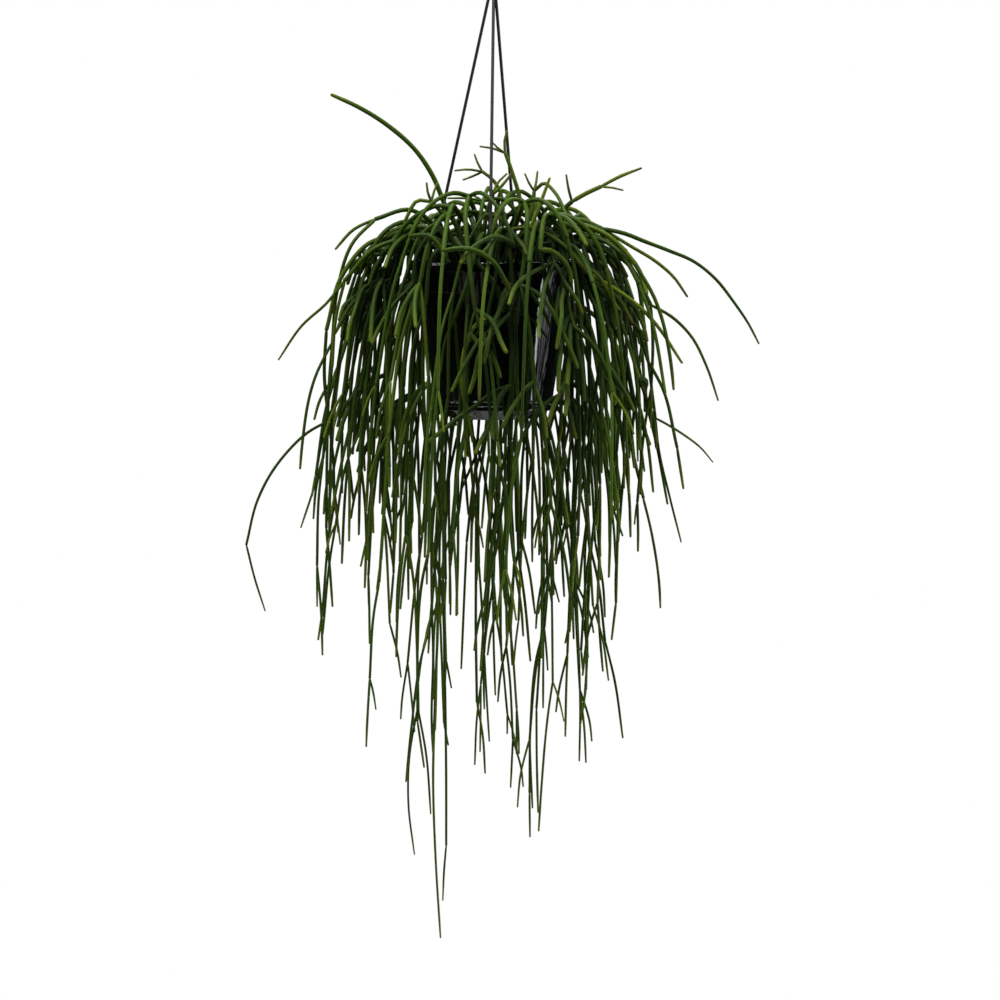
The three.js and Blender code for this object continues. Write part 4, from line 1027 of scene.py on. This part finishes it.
# %% The row of numbers that each shoot draws from, and the whole plant
LOTS = [
    35, 80, 85, 0, 101, 37, 0, 106, 129, 0, 113, 17, 52, 97, 92, 86, 0, 39,
    44, 13, 114, 97, 118, 146, 116, 43, 47, 109, 0, 25, 56, 26, 97, 110, 31, 164,
    80, 138, 132, 23, 133, 58, 4, 55, 93, 157, 90, 75, 131, 162, 41, 165, 153, 111,
]


def grown(number):
    """The whole spray that stands in one hole of the soil."""
    draw = seeded_draw(number + 1 + 100 * LOTS[number])
    hole = (BED * math.sqrt((number + 0.5) / SHOOTS), math.radians(number * GOLDEN_TURN))
    if number not in SHAPED:
        return free_shoot(hole, draw)
    plan = SHAPED[number]
    stem = foot(hole, plan.radii[0])
    shaped_stem(stem, plan, draw)
    return stem


def every_stem(stem):
    yield stem
    for further in stem.next:
        yield from every_stem(further)


sprays = [grown(number) for number in range(SHOOTS)]
print("stems:", sum(1 for spray in sprays for _ in every_stem(spray)))

# %% [markdown]
# ## Bending clear of each other
#
# Real stems never pass through one another: each leans on those beside it. So after the growth,
# stems that cross are pushed apart a little at a time, until each lies clear of the others, the
# pot, the soil and the hanger. It could be left to a physics run, but rounds of small pushes
# give the same answer each time. All pairs of a round are worked out in one go as numpy rows.

# %% The places and spans of all stems
SWELL, CLEAR = 1.16, 0.45  # a three-sided solid stem is that much wider; millimetres kept clear
points, pairs = [], []


def add_span(a, b):
    for point in (a, b):
        if not hasattr(point, "number"):
            point.number = len(points)
            points.append(point)
    pairs.append((a.number, b.number))


for spray in sprays:
    for stem in every_stem(spray):
        for a, b in zip(stem.points, stem.points[1:]):
            add_span(a, b)
for turn in STRAND_TURNS:
    out = vector(math.sin(math.radians(turn)), -math.cos(math.radians(turn)), 0.0)
    for width, (near, high), (far, low) in (
        (2.8, (1.0, 244.0), (STRAND_SEAT, 24.0)), (5.6, (STRAND_SEAT, 16.0), (STRAND_SEAT, 2.0)),
    ):
        thick = 0.65 * width / SWELL
        upper = Point(out * near - DOWN * high, thick, True)
        add_span(upper, Point(out * far - DOWN * low, thick, True))
print("places:", len(points), "spans:", len(pairs))

# %% How near stems pass, and the push off the pot and the soil
def dots(a, b):
    return (a * b).sum(axis=-1)


def nearest(a, b, c, d):
    """Where the spans a-b and c-d come closest: how far along each, and the way between."""
    u, v, w = b - a, d - c, a - c
    uu, vv, uv, uw, vw = dots(u, u), dots(v, v), dots(u, v), dots(u, w), dots(v, w)
    flat = uu * vv - uv * uv
    s = np.where(flat > 1e-9, np.clip((uv * vw - vv * uw) / np.maximum(flat, 1e-9), 0.0, 1.0), 0.5)
    t = np.clip((uv * s + vw) / vv, 0.0, 1.0)
    s = np.clip((uv * t - uw) / uu, 0.0, 1.0)
    return s, t, a + u * s[:, None] - c - v * t[:, None]


ROLL_AT, ROLL_DEPTH, ROLL = 72.0, 4.0, 5.5  # the rim, taken as one thick ring


def push_off(at, r):
    """The push on places that are too near the rim, the wall or the soil."""
    need = r * SWELL + CLEAR
    out = np.maximum(np.hypot(at[:, 0], at[:, 1]), 1e-9)
    depth = -at[:, 2]
    outward = at * [1.0, 1.0, 0.0] / out[:, None]
    roll, drop = out - ROLL_AT, ROLL_DEPTH - depth
    to_roll = np.maximum(np.hypot(roll, drop), 1e-9)
    off_roll = (ROLL + need - to_roll) / to_roll
    by_roll = outward * (roll * off_roll)[:, None] - DOWN * (drop * off_roll)[:, None]

    sunk = 3.0 - SOIL_DROP + need + depth
    by_soil = -DOWN * np.maximum(sunk, 0.0)[:, None]

    wall = TOP - (TOP - FOOT) / FOOT_DROP * depth - np.where(depth > STEP, STEP_IN, 0.0) + STEP_IN
    wall = np.where(depth < RIM_DROP + need, RIM_RADIUS, wall)
    wall = np.where(depth > FOOT_DROP - need, SAUCER_RADIUS, wall)
    by_wall = outward * np.maximum(wall + need - out, 0.0)[:, None]
    by_wall[(depth < ROLL_DEPTH) | (depth > SAUCER_BASE + need)] = 0.0

    inside = (out < ROLL_AT) & (depth < SOIL_DROP)
    push = np.where(inside[:, None], by_soil, by_wall)
    return np.where((to_roll < ROLL + need)[:, None], by_roll, push)


# %% One round of pushing
def neighbours(one, other, reach):
    """Of these pairs of spans, the pairs that lie within reach of each other."""
    a, b = place[spans[:, 0]], place[spans[:, 1]]
    middle, half = (a + b) / 2.0, lengths_of(b - a) / 2.0
    gap = middle[one] - middle[other]
    close = dots(gap, gap) <= (half[one] + half[other] + reach) ** 2
    return one[close], other[close]


def push_apart():
    """One round of pushing. It returns how many places still touched."""
    total, count = np.zeros_like(place), np.zeros(len(place))

    def spread(span, t, push):
        even = (1.0 - t) ** 2 + t * t
        for end, share, felt in ((0, (1.0 - t) / even, t < 0.98), (1, t / even, t > 0.02)):
            felt = felt & free[spans[span, end]]
            np.add.at(total, spans[span, end][felt], push[felt] * share[felt][:, None])
            np.add.at(count, spans[span, end][felt], 1.0)

    m, n = neighbours(near, other, 6.0)
    (a, b), (c, d) = spans[m].T, spans[n].T
    s, t, way = nearest(place[a], place[b], place[c], place[d])
    apart = np.maximum(lengths_of(way), 1e-6)
    thick = between(radius[a], radius[b], s) + between(radius[c], radius[d], t)
    need = thick * SWELL + CLEAR
    hit = apart < need
    push = way * ((need - apart + 0.05) / apart / 2.0)[:, None]
    spread(m[hit], s[hit], push[hit])
    spread(n[hit], t[hit], -push[hit])
    touching = int(hit.sum())

    everyone = np.arange(len(spans))
    loose = free[spans].any(axis=1)
    for share in np.linspace(0.0, 1.0, 9):
        at = between(place[spans[:, 0]], place[spans[:, 1]], share)
        push = push_off(at, between(radius[spans[:, 0]], radius[spans[:, 1]], share))
        hit = dots(push, push) > 0.0
        spread(everyone[hit], np.full(int(hit.sum()), share), push[hit])
        touching += int((hit & loose).sum())
    moved = count > 0
    place[moved] += total[moved] * (1.2 / count[moved])[:, None]
    return touching


# %% Rounds of pushing, until nothing touches
def settle(most):
    """Push all places apart, for so many rounds at most, and then hold them where they are."""
    global place, radius, free, spans, near, other
    place = np.array([point.p for point in points])
    radius = np.array([point.r for point in points])
    free = np.array([not point.held for point in points])
    spans = np.array(pairs)
    near, other = neighbours(*np.triu_indices(len(spans), 1), 60.0)
    strangers = (spans[near][:, :, None] != spans[other][:, None, :]).all(axis=(1, 2))
    loose = free[spans].any(axis=1)
    strangers &= loose[near] | loose[other]
    near, other = near[strangers], other[strangers]
    rounds = 0
    while rounds < most and push_apart() > 0:
        rounds += 1
    for point, settled in zip(points, place):
        point.p = settled
        point.held = True
    return rounds


print("rounds of pushing:", settle(150))

# %% [markdown]
# ## A fuller crown
#
# The solids hold every stem that shapes the plant. Between them, the crown and the shoulders of a
# real one are filled with short side shoots that stand off the joints, bend over and end. They could
# be scattered on the surface like hair, but then they would start from nowhere. Here each one grows
# out of a joint that is already there, and is pushed clear of what was settled before it. One that
# this bends too sharply is left out again.

# %% What a side shoot is, and where it may not reach
def side_shoot(stem, along, length, sag, draw):
    stem.r = between(1.55, 1.95, draw())
    for _ in range(5):
        stem.add(stem.end().p + along * (length / 5.0), stem.r)
        stray = vector(draw() - 0.5, draw() - 0.5, draw() - 0.5) * 0.3
        along = unit(along + DOWN * sag + stray)


CROWN_TOP, CROWN_FALL = 52.0, 0.0016
SKIPPED, SHARPEST = 0.22, 0.6


def above_crown(place):
    """How far a place stands above the dome that the crown's arches follow."""
    x, y, height = place
    return height - (CROWN_TOP - CROWN_FALL * (x * x + y * y))


def sharpest_turn(stem):
    """The cosine of the sharpest turn between one length of a stem and the next."""
    ways = [unit(b.p - a.p) for a, b in zip(stem.points, stem.points[1:])]
    return min(float(a @ b) for a, b in zip(ways, ways[1:]))


# %% Short side shoots, grown, settled and sorted
draw = seeded_draw(4711)
shoots = []
joints = []
for number, spray in enumerate(sprays):
    if number not in SHAPED:
        joints += [stem for stem in every_stem(spray) if len(stem.points) > 2]
for stem in joints:
    x, y, height = stem.end().p
    out = math.hypot(x, y)
    on_crown = -125.0 < height < 70.0 and 22.0 < out < 130.0
    for _ in range((2 if height > 0.0 else 3) if on_crown else 0):
        if draw() < SKIPPED:
            continue
        steep = height < 0.0
        aside = between(-130.0, 130.0, draw()) * (0.6 if steep else 1.0)
        turned = turned_level(vector(x, y, 0.0), aside)
        lift = between(-0.9, -0.2, draw()) if steep else between(-0.2, 0.55, draw())
        length = between(38.0, 92.0, draw())
        side = stem.branch(0.9)
        side_shoot(side, unit(turned - DOWN * lift), length, between(0.12, 0.42, draw()), draw)
        end = side.end().p
        too_high = max(above_crown(point.p) for point in side.points[1:]) > 0.0
        widest = 126.0 if end[2] > -20.0 else 142.0
        if math.hypot(end[0], end[1]) > widest or too_high:
            stem.next.remove(side)
            continue
        for a, b in zip(side.points, side.points[1:]):
            add_span(a, b)
        shoots.append((stem, side))
print("side shoots:", len(shoots), "settled in", settle(50), "rounds")
crooked = [(stem, side) for stem, side in shoots if sharpest_turn(side) < SHARPEST]
for stem, side in crooked:
    stem.next.remove(side)
print("left out as too sharply bent:", len(crooked))

# %% [markdown]
# ## The soil
#
# Potting soil for a cactus that lives on trees is coarse: dark peat with chips of bark and a few
# grains of perlite. The peat is a spun body whose top is pushed up and down by noise. The chips
# could be scattered by an instancing modifier, but a few hundred balls of twenty faces, each
# squashed and turned its own way, make the same bed and stay part of one mesh.

# %% The finish of peat, bark and perlite
soil_finish = Finish("potting_soil", Specular_IOR_Level=0.25)
grit = soil_finish.speckle(soil_finish.place(), 700.0, 3.0, 0.7)
kind = soil_finish.carried("kind", "Fac")
peat = soil_finish.blend(grit, colour(0.010, 0.007, 0.005), colour(0.045, 0.030, 0.019))
bark = soil_finish.blend(grit, colour(0.050, 0.028, 0.015), colour(0.15, 0.090, 0.050))
chips = soil_finish.blend(kind * 2.0, peat, bark)
soil_finish.paint(
    Base_Color=soil_finish.blend(kind * 2.0 - 1.0, chips, colour(0.55, 0.53, 0.48)),
    Roughness=grit * 0.15 + 0.8,
)
soil_finish.bump(grit, 0.5, 0.0006)
print("soil finish:", len(soil_finish.tree.nodes), "nodes")


# %% The body of peat
def heaped(out):
    """How far the soil's top rises above its edge, so far out from the pot's axis."""
    return 3.0 * math.cos(out / 66.0 * math.pi / 2.0)


inner = 0.7 + WALL
ground = [(0.0, 121.3), (outer_wall(121.3) - inner, 121.3), (outer_wall(27.2) - inner, 27.2)]
ground += [(outer_wall(STEP) - inner - 0.2, 25.2), (outer_wall(16.6) - inner, 16.6)]
ground += [(out, SOIL_DROP - heaped(out)) for out in np.linspace(64.0, 2.0, 32)]
ground += [(0.0, 13.0)]
soil = spun(ground, 96, 0.0)
for vert in soil.verts:
    spot = vert.co * 1000.0
    if spot.z > RIM - 16.4 and spot.to_2d().length < 64.5:
        swelling = noise.fractal(spot / 9.0, 0.8, 2.0, 4, noise_basis="PERLIN_ORIGINAL")
        vert.co.z += (1.3 * swelling - 0.6) * MM
kinds = [0.0] * len(soil.verts)
print("peat:", len(soil.faces), "faces")

# %% Chips of bark and grains of perlite
CHIPS = 620
chance = np.random.default_rng(7)
for number in range(CHIPS):
    perlite = number % 11 == 0
    out, turn = 62.5 * math.sqrt(chance.random()), chance.random() * 2.0 * math.pi
    size = chance.uniform(0.9, 1.7) if perlite else chance.uniform(1.2, 3.6)
    squash = (1.0, 0.8, 0.8)
    if not perlite:
        squash = (1.0, chance.uniform(0.4, 0.7), chance.uniform(0.25, 0.45))
    height = RIM - 16.2 + heaped(out) + 0.2 * size
    chip = bmesh.ops.create_icosphere(soil, subdivisions=1, radius=size * MM)["verts"]
    bmesh.ops.scale(soil, verts=chip, vec=squash)
    tilt = Euler((chance.uniform(-0.5, 0.5), chance.uniform(-0.5, 0.5), chance.uniform(0.0, 6.28)))
    bmesh.ops.rotate(soil, verts=chip, matrix=tilt.to_matrix())
    place_there = Vector((out * math.cos(turn), out * math.sin(turn), height)) * MM
    bmesh.ops.translate(soil, verts=chip, vec=place_there)
    kinds += [1.0 if perlite else 0.5] * len(chip)
print("chips and grains:", CHIPS)


# %% The soil as one piece
def carry(mesh, name, kind_of_number, numbers):
    """Give each point of a mesh a number or a vector that its finish can read."""
    field = "value" if kind_of_number == "FLOAT" else "vector"
    mesh.attributes.new(name, kind_of_number, "POINT").data.foreach_set(field, np.ravel(numbers))


soil_piece = own_object("soil_bed", mesh_from(soil, "soil_bed"), soil_finish)
carry(soil_piece.data, "kind", "FLOAT", kinds)
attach(soil_piece, "root")
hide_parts("soil")
print("soil:", len(soil_piece.data.polygons), "faces")

# %% [markdown]
# ## Painted shade
#
# Stems in the heart of the plant get little light, and that shade is painted into their colour:
# the less light reaches a place, the deeper and duller the green that its skin is painted.
# Whether a place lies in the shade of others could be found by casting rays at the meshes, but a
# coarse grid of cells is much quicker and exact enough: every cell that a stem passes through is
# marked, and from each point of a stem we walk outward through the grid in many directions and
# lose some light at each marked cell.

# %% A grid of what is filled
CELL = 8.0
LOWEST = np.array([-270.0, -270.0, -620.0])
DIRECTIONS, NEAREST, FARTHEST, PASSED_ON = 44, 14.0, 110.0, 0.68
filled_cells = np.zeros((68, 68, 100), dtype=bool)


def cells_at(places):
    cells = np.floor((places - LOWEST) / CELL).astype(int)
    return tuple(np.clip(cells, 0, np.array(filled_cells.shape) - 1).T)


for spray in sprays:
    for stem in every_stem(spray):
        for a, b in zip(stem.points, stem.points[1:]):
            share = np.linspace(0.0, 1.0, 9)[:, None]
            filled_cells[cells_at(a.p * (1.0 - share) + b.p * share)] = True
print("cells that a stem passes through:", int(filled_cells.sum()))

# %% The light that is left at each place
bearings = math.pi * (3.0 - math.sqrt(5.0)) * np.arange(DIRECTIONS)
heights = np.linspace(-0.97, 0.97, DIRECTIONS)
level = np.sqrt(1.0 - heights**2)
directions = np.column_stack([level * np.cos(bearings), level * np.sin(bearings), heights])
from_above = 0.6 + 0.4 * heights


def light_at(places):
    """The share of the light from all round, and most from above, that reaches each place."""
    left = np.ones((len(places), len(directions)))
    for away in np.arange(NEAREST, FARTHEST, CELL):
        reached = places[:, None, :] + directions[None, :, :] * away
        blocked = filled_cells[cells_at(reached.reshape(-1, 3))].reshape(left.shape)
        left *= np.where(blocked, PASSED_ON, 1.0)
    return (left * from_above).sum(axis=1) / from_above.sum()


light_there = [
    light_at(np.array([point.p for point in stem.points]))
    for spray in sprays for stem in every_stem(spray)
]
spread_of_light = np.percentile(np.concatenate(light_there), (10, 50, 90)).round(2)
print("light on the stems, darkest tenth, middle and brightest tenth:", spread_of_light)

# %% [markdown]
# ## The skin of the stems
#
# The stems are smooth and succulent. Old joints are a deep olive, young ones a clear
# yellow-green, and each has its own tint. Tiny pale areoles sit along a stem, and a joint wears a
# thin brownish collar. Deep in the plant the skin is also painted darker, as painted shade. The
# pattern has to run along the stem whichever way it hangs, so it is worked out on the straight
# blank: each point carries its place on it, and also how young the growth is there, how close the
# joint is, the stem's own lot and how much painted shade it gets.

# %% The finish for all stems
stem_skin = Finish("stem_skin", Specular_IOR_Level=0.2)
rest = stem_skin.carried("rest", "Vector")
young = stem_skin.carried("young", "Fac")
collar = stem_skin.carried("collar", "Fac")
lot = stem_skin.carried("lot", "Fac")
shaded = stem_skin.carried("shaded", "Fac")
mottle = stem_skin.speckle(rest, 0.22, 3.0, 0.6)
age = (lot * 0.55 + mottle * 0.5).clamped()
ramp = {"stops": [
    (0.0, (0.022, 0.058, 0.002)), (0.45, (0.044, 0.100, 0.003)), (0.8, (0.078, 0.148, 0.006)),
    (1.0, (0.130, 0.198, 0.010)),
]}
grown_colour = stem_skin.node("ShaderNodeValToRGB", ramp, {"Fac": age})
fresh_colour = stem_skin.blend(mottle, colour(0.14, 0.21, 0.010), colour(0.24, 0.31, 0.020))
skin = stem_skin.blend(young, grown_colour, fresh_colour)
# painted shade: where little light reaches, the skin is painted towards a near-black green and made
# rougher
skin = stem_skin.blend(shaded * 0.95, skin, colour(0.004, 0.015, 0.0005))
skin = stem_skin.blend(collar * 0.6, skin, colour(0.09, 0.055, 0.02))
cells = {"feature": "F1", "voronoi_dimensions": "3D"}
spots = {"Vector": rest, "Scale": 0.16, "Randomness": 0.7}
areole = stem_skin.node("ShaderNodeTexVoronoi", cells, spots)
dot = ((0.075 - areole) * 40.0).clamped()
stem_skin.paint(
    Base_Color=stem_skin.blend(dot * 0.6, skin, colour(0.45, 0.42, 0.30)),
    Roughness=mottle * 0.16 + shaded * 0.25 + 0.42,
)
stem_skin.bump(mottle * 0.7 + dot * 0.5, 0.25, 0.0003)
print("stem finish:", len(stem_skin.tree.nodes), "nodes")

# %% [markdown]
# ## The stems
#
# Every stem is a straight blank bent along its settled way. It leaves the joint before it by a
# thin neck, keeps its thickness but for a slight unevenness, and ends in a dome. Where others grow on
# from its end, that dome becomes the joint in which their necks sit. Each stem is a closed skin of
# its own, so one spray is one piece of many bars.

# %% One stem
NECK, NECK_LENGTH = 0.74, 4.5  # how thin a stem leaves its joint, and over what length
TIP, TIP_LENGTH = 0.8, 16.0  # how thin a free end gets, and over what length
PATTERN_LENGTH = 1400.0  # stems start at different places along one long pattern


def eased(t):
    t = np.clip(t, 0.0, 1.0)
    return t * t * (3.0 - 2.0 * t)


def add_stem(bm, stem, seed, light, carried):
    """Bend one stem, and note what its points carry."""
    chance = np.random.default_rng(seed)
    way = np.array([point.p for point in stem.points]) + [0.0, 0.0, RIM]
    widths = np.array([point.r for point in stem.points])
    widths = widths * (1.0 + 0.1 * eased((widths - 1.1) / 0.6))
    if not stem.rooted:
        widths[0] = widths[1]
    dome = widths[-1] * 0.75
    way = np.vstack([way, way[-1] + stem.heading() * dome])
    widths = np.append(widths, widths[-1])
    marks = np.concatenate([[0.0], np.cumsum(lengths_of(np.diff(way, axis=0)))])
    length = marks[-1]
    middle = np.linspace(4.0, length - 2.6, max(3, int(length / 5.5)))
    near_start = np.array([0.0, 0.9, 2.2])
    near_end = length - dome * np.array([1.25, 0.75, 0.35, 0.1, 0.0])
    stations = np.concatenate([near_start, middle, near_end])
    radii = np.interp(stations, marks, widths)
    knots = np.arange(0.0, length + 12.0, 12.0)
    uneven = np.interp(stations, knots, chance.normal(0.0, 0.025, len(knots)))
    radii = radii * (1.0 + uneven)
    if not stem.rooted:
        radii = radii * between(NECK, 1.0, eased(stations / NECK_LENGTH))
    if not stem.next:
        radii = radii * between(TIP, 1.0, eased((length - stations) / TIP_LENGTH))
    radii[-4:] = radii[-5] * np.array([0.93, 0.72, 0.4, 0.1])
    path = smooth_path(way, stations)
    added, ring, rest_place = add_bent(bm, path, radii, 8 if widths[1] < 1.35 else 10)

    along = stations[ring]
    from_end = length - along
    tip = 1.0 - eased(from_end / 26.0) if not stem.next else np.zeros(len(ring))
    twig_share = 0.35 if stem.twig else 0.0
    own = chance.random()
    young_here = np.maximum(stem.fresh * 0.85, twig_share + 0.55 * tip + 0.25 * (own > 0.86))
    young_here = np.clip(young_here, 0.0, 1.0)
    brown = np.exp(-((along - 0.6) / 0.9) ** 2) * (not stem.rooted)
    if own > 0.94 and not stem.next:
        brown = np.maximum(brown, 1.3 - eased(from_end / 14.0) * 1.3)
    round_place = rest_place[:, :2] * radii[ring][:, None]
    carried["rest"].append(np.column_stack([round_place, along + own * PATTERN_LENGTH]))
    carried["young"].append(young_here)
    carried["collar"].append(np.clip(brown, 0.0, 1.4))
    carried["lot"].append(np.full(len(ring), own))
    light_here = np.interp(along, marks, np.append(light, light[-1]))
    # painted shade: how far the skin is painted towards the dark green here, from the light left at
    # this place; fresh shoots get less of it
    painted_shade_here = 1.0 - eased((light_here - 0.38) / 0.42)
    carried["shaded"].append(painted_shade_here * (1.0 - 0.8 * stem.fresh))


# %% All sprays
FIRST_SEED = 1001
stem_count = 0
total_faces = 0
for number, spray in enumerate(sprays):
    bm = bmesh.new()
    carried = {"rest": [], "young": [], "collar": [], "lot": [], "shaded": []}
    for stem in every_stem(spray):
        add_stem(bm, stem, FIRST_SEED + stem_count, light_there[stem_count], carried)
        stem_count += 1
    piece_name = "stems_%02d" % (number + 1)
    piece = own_object(piece_name, mesh_from(bm, piece_name), stem_skin)
    for name, rows in carried.items():
        joined = np.concatenate(rows)
        carry(piece.data, name, "FLOAT_VECTOR" if joined.ndim == 2 else "FLOAT", joined)
    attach(piece, "root")
    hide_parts("spray_%02d" % (number + 1))
    total_faces += len(piece.data.polygons)
print("stems:", stem_count, "with", total_faces, "faces")
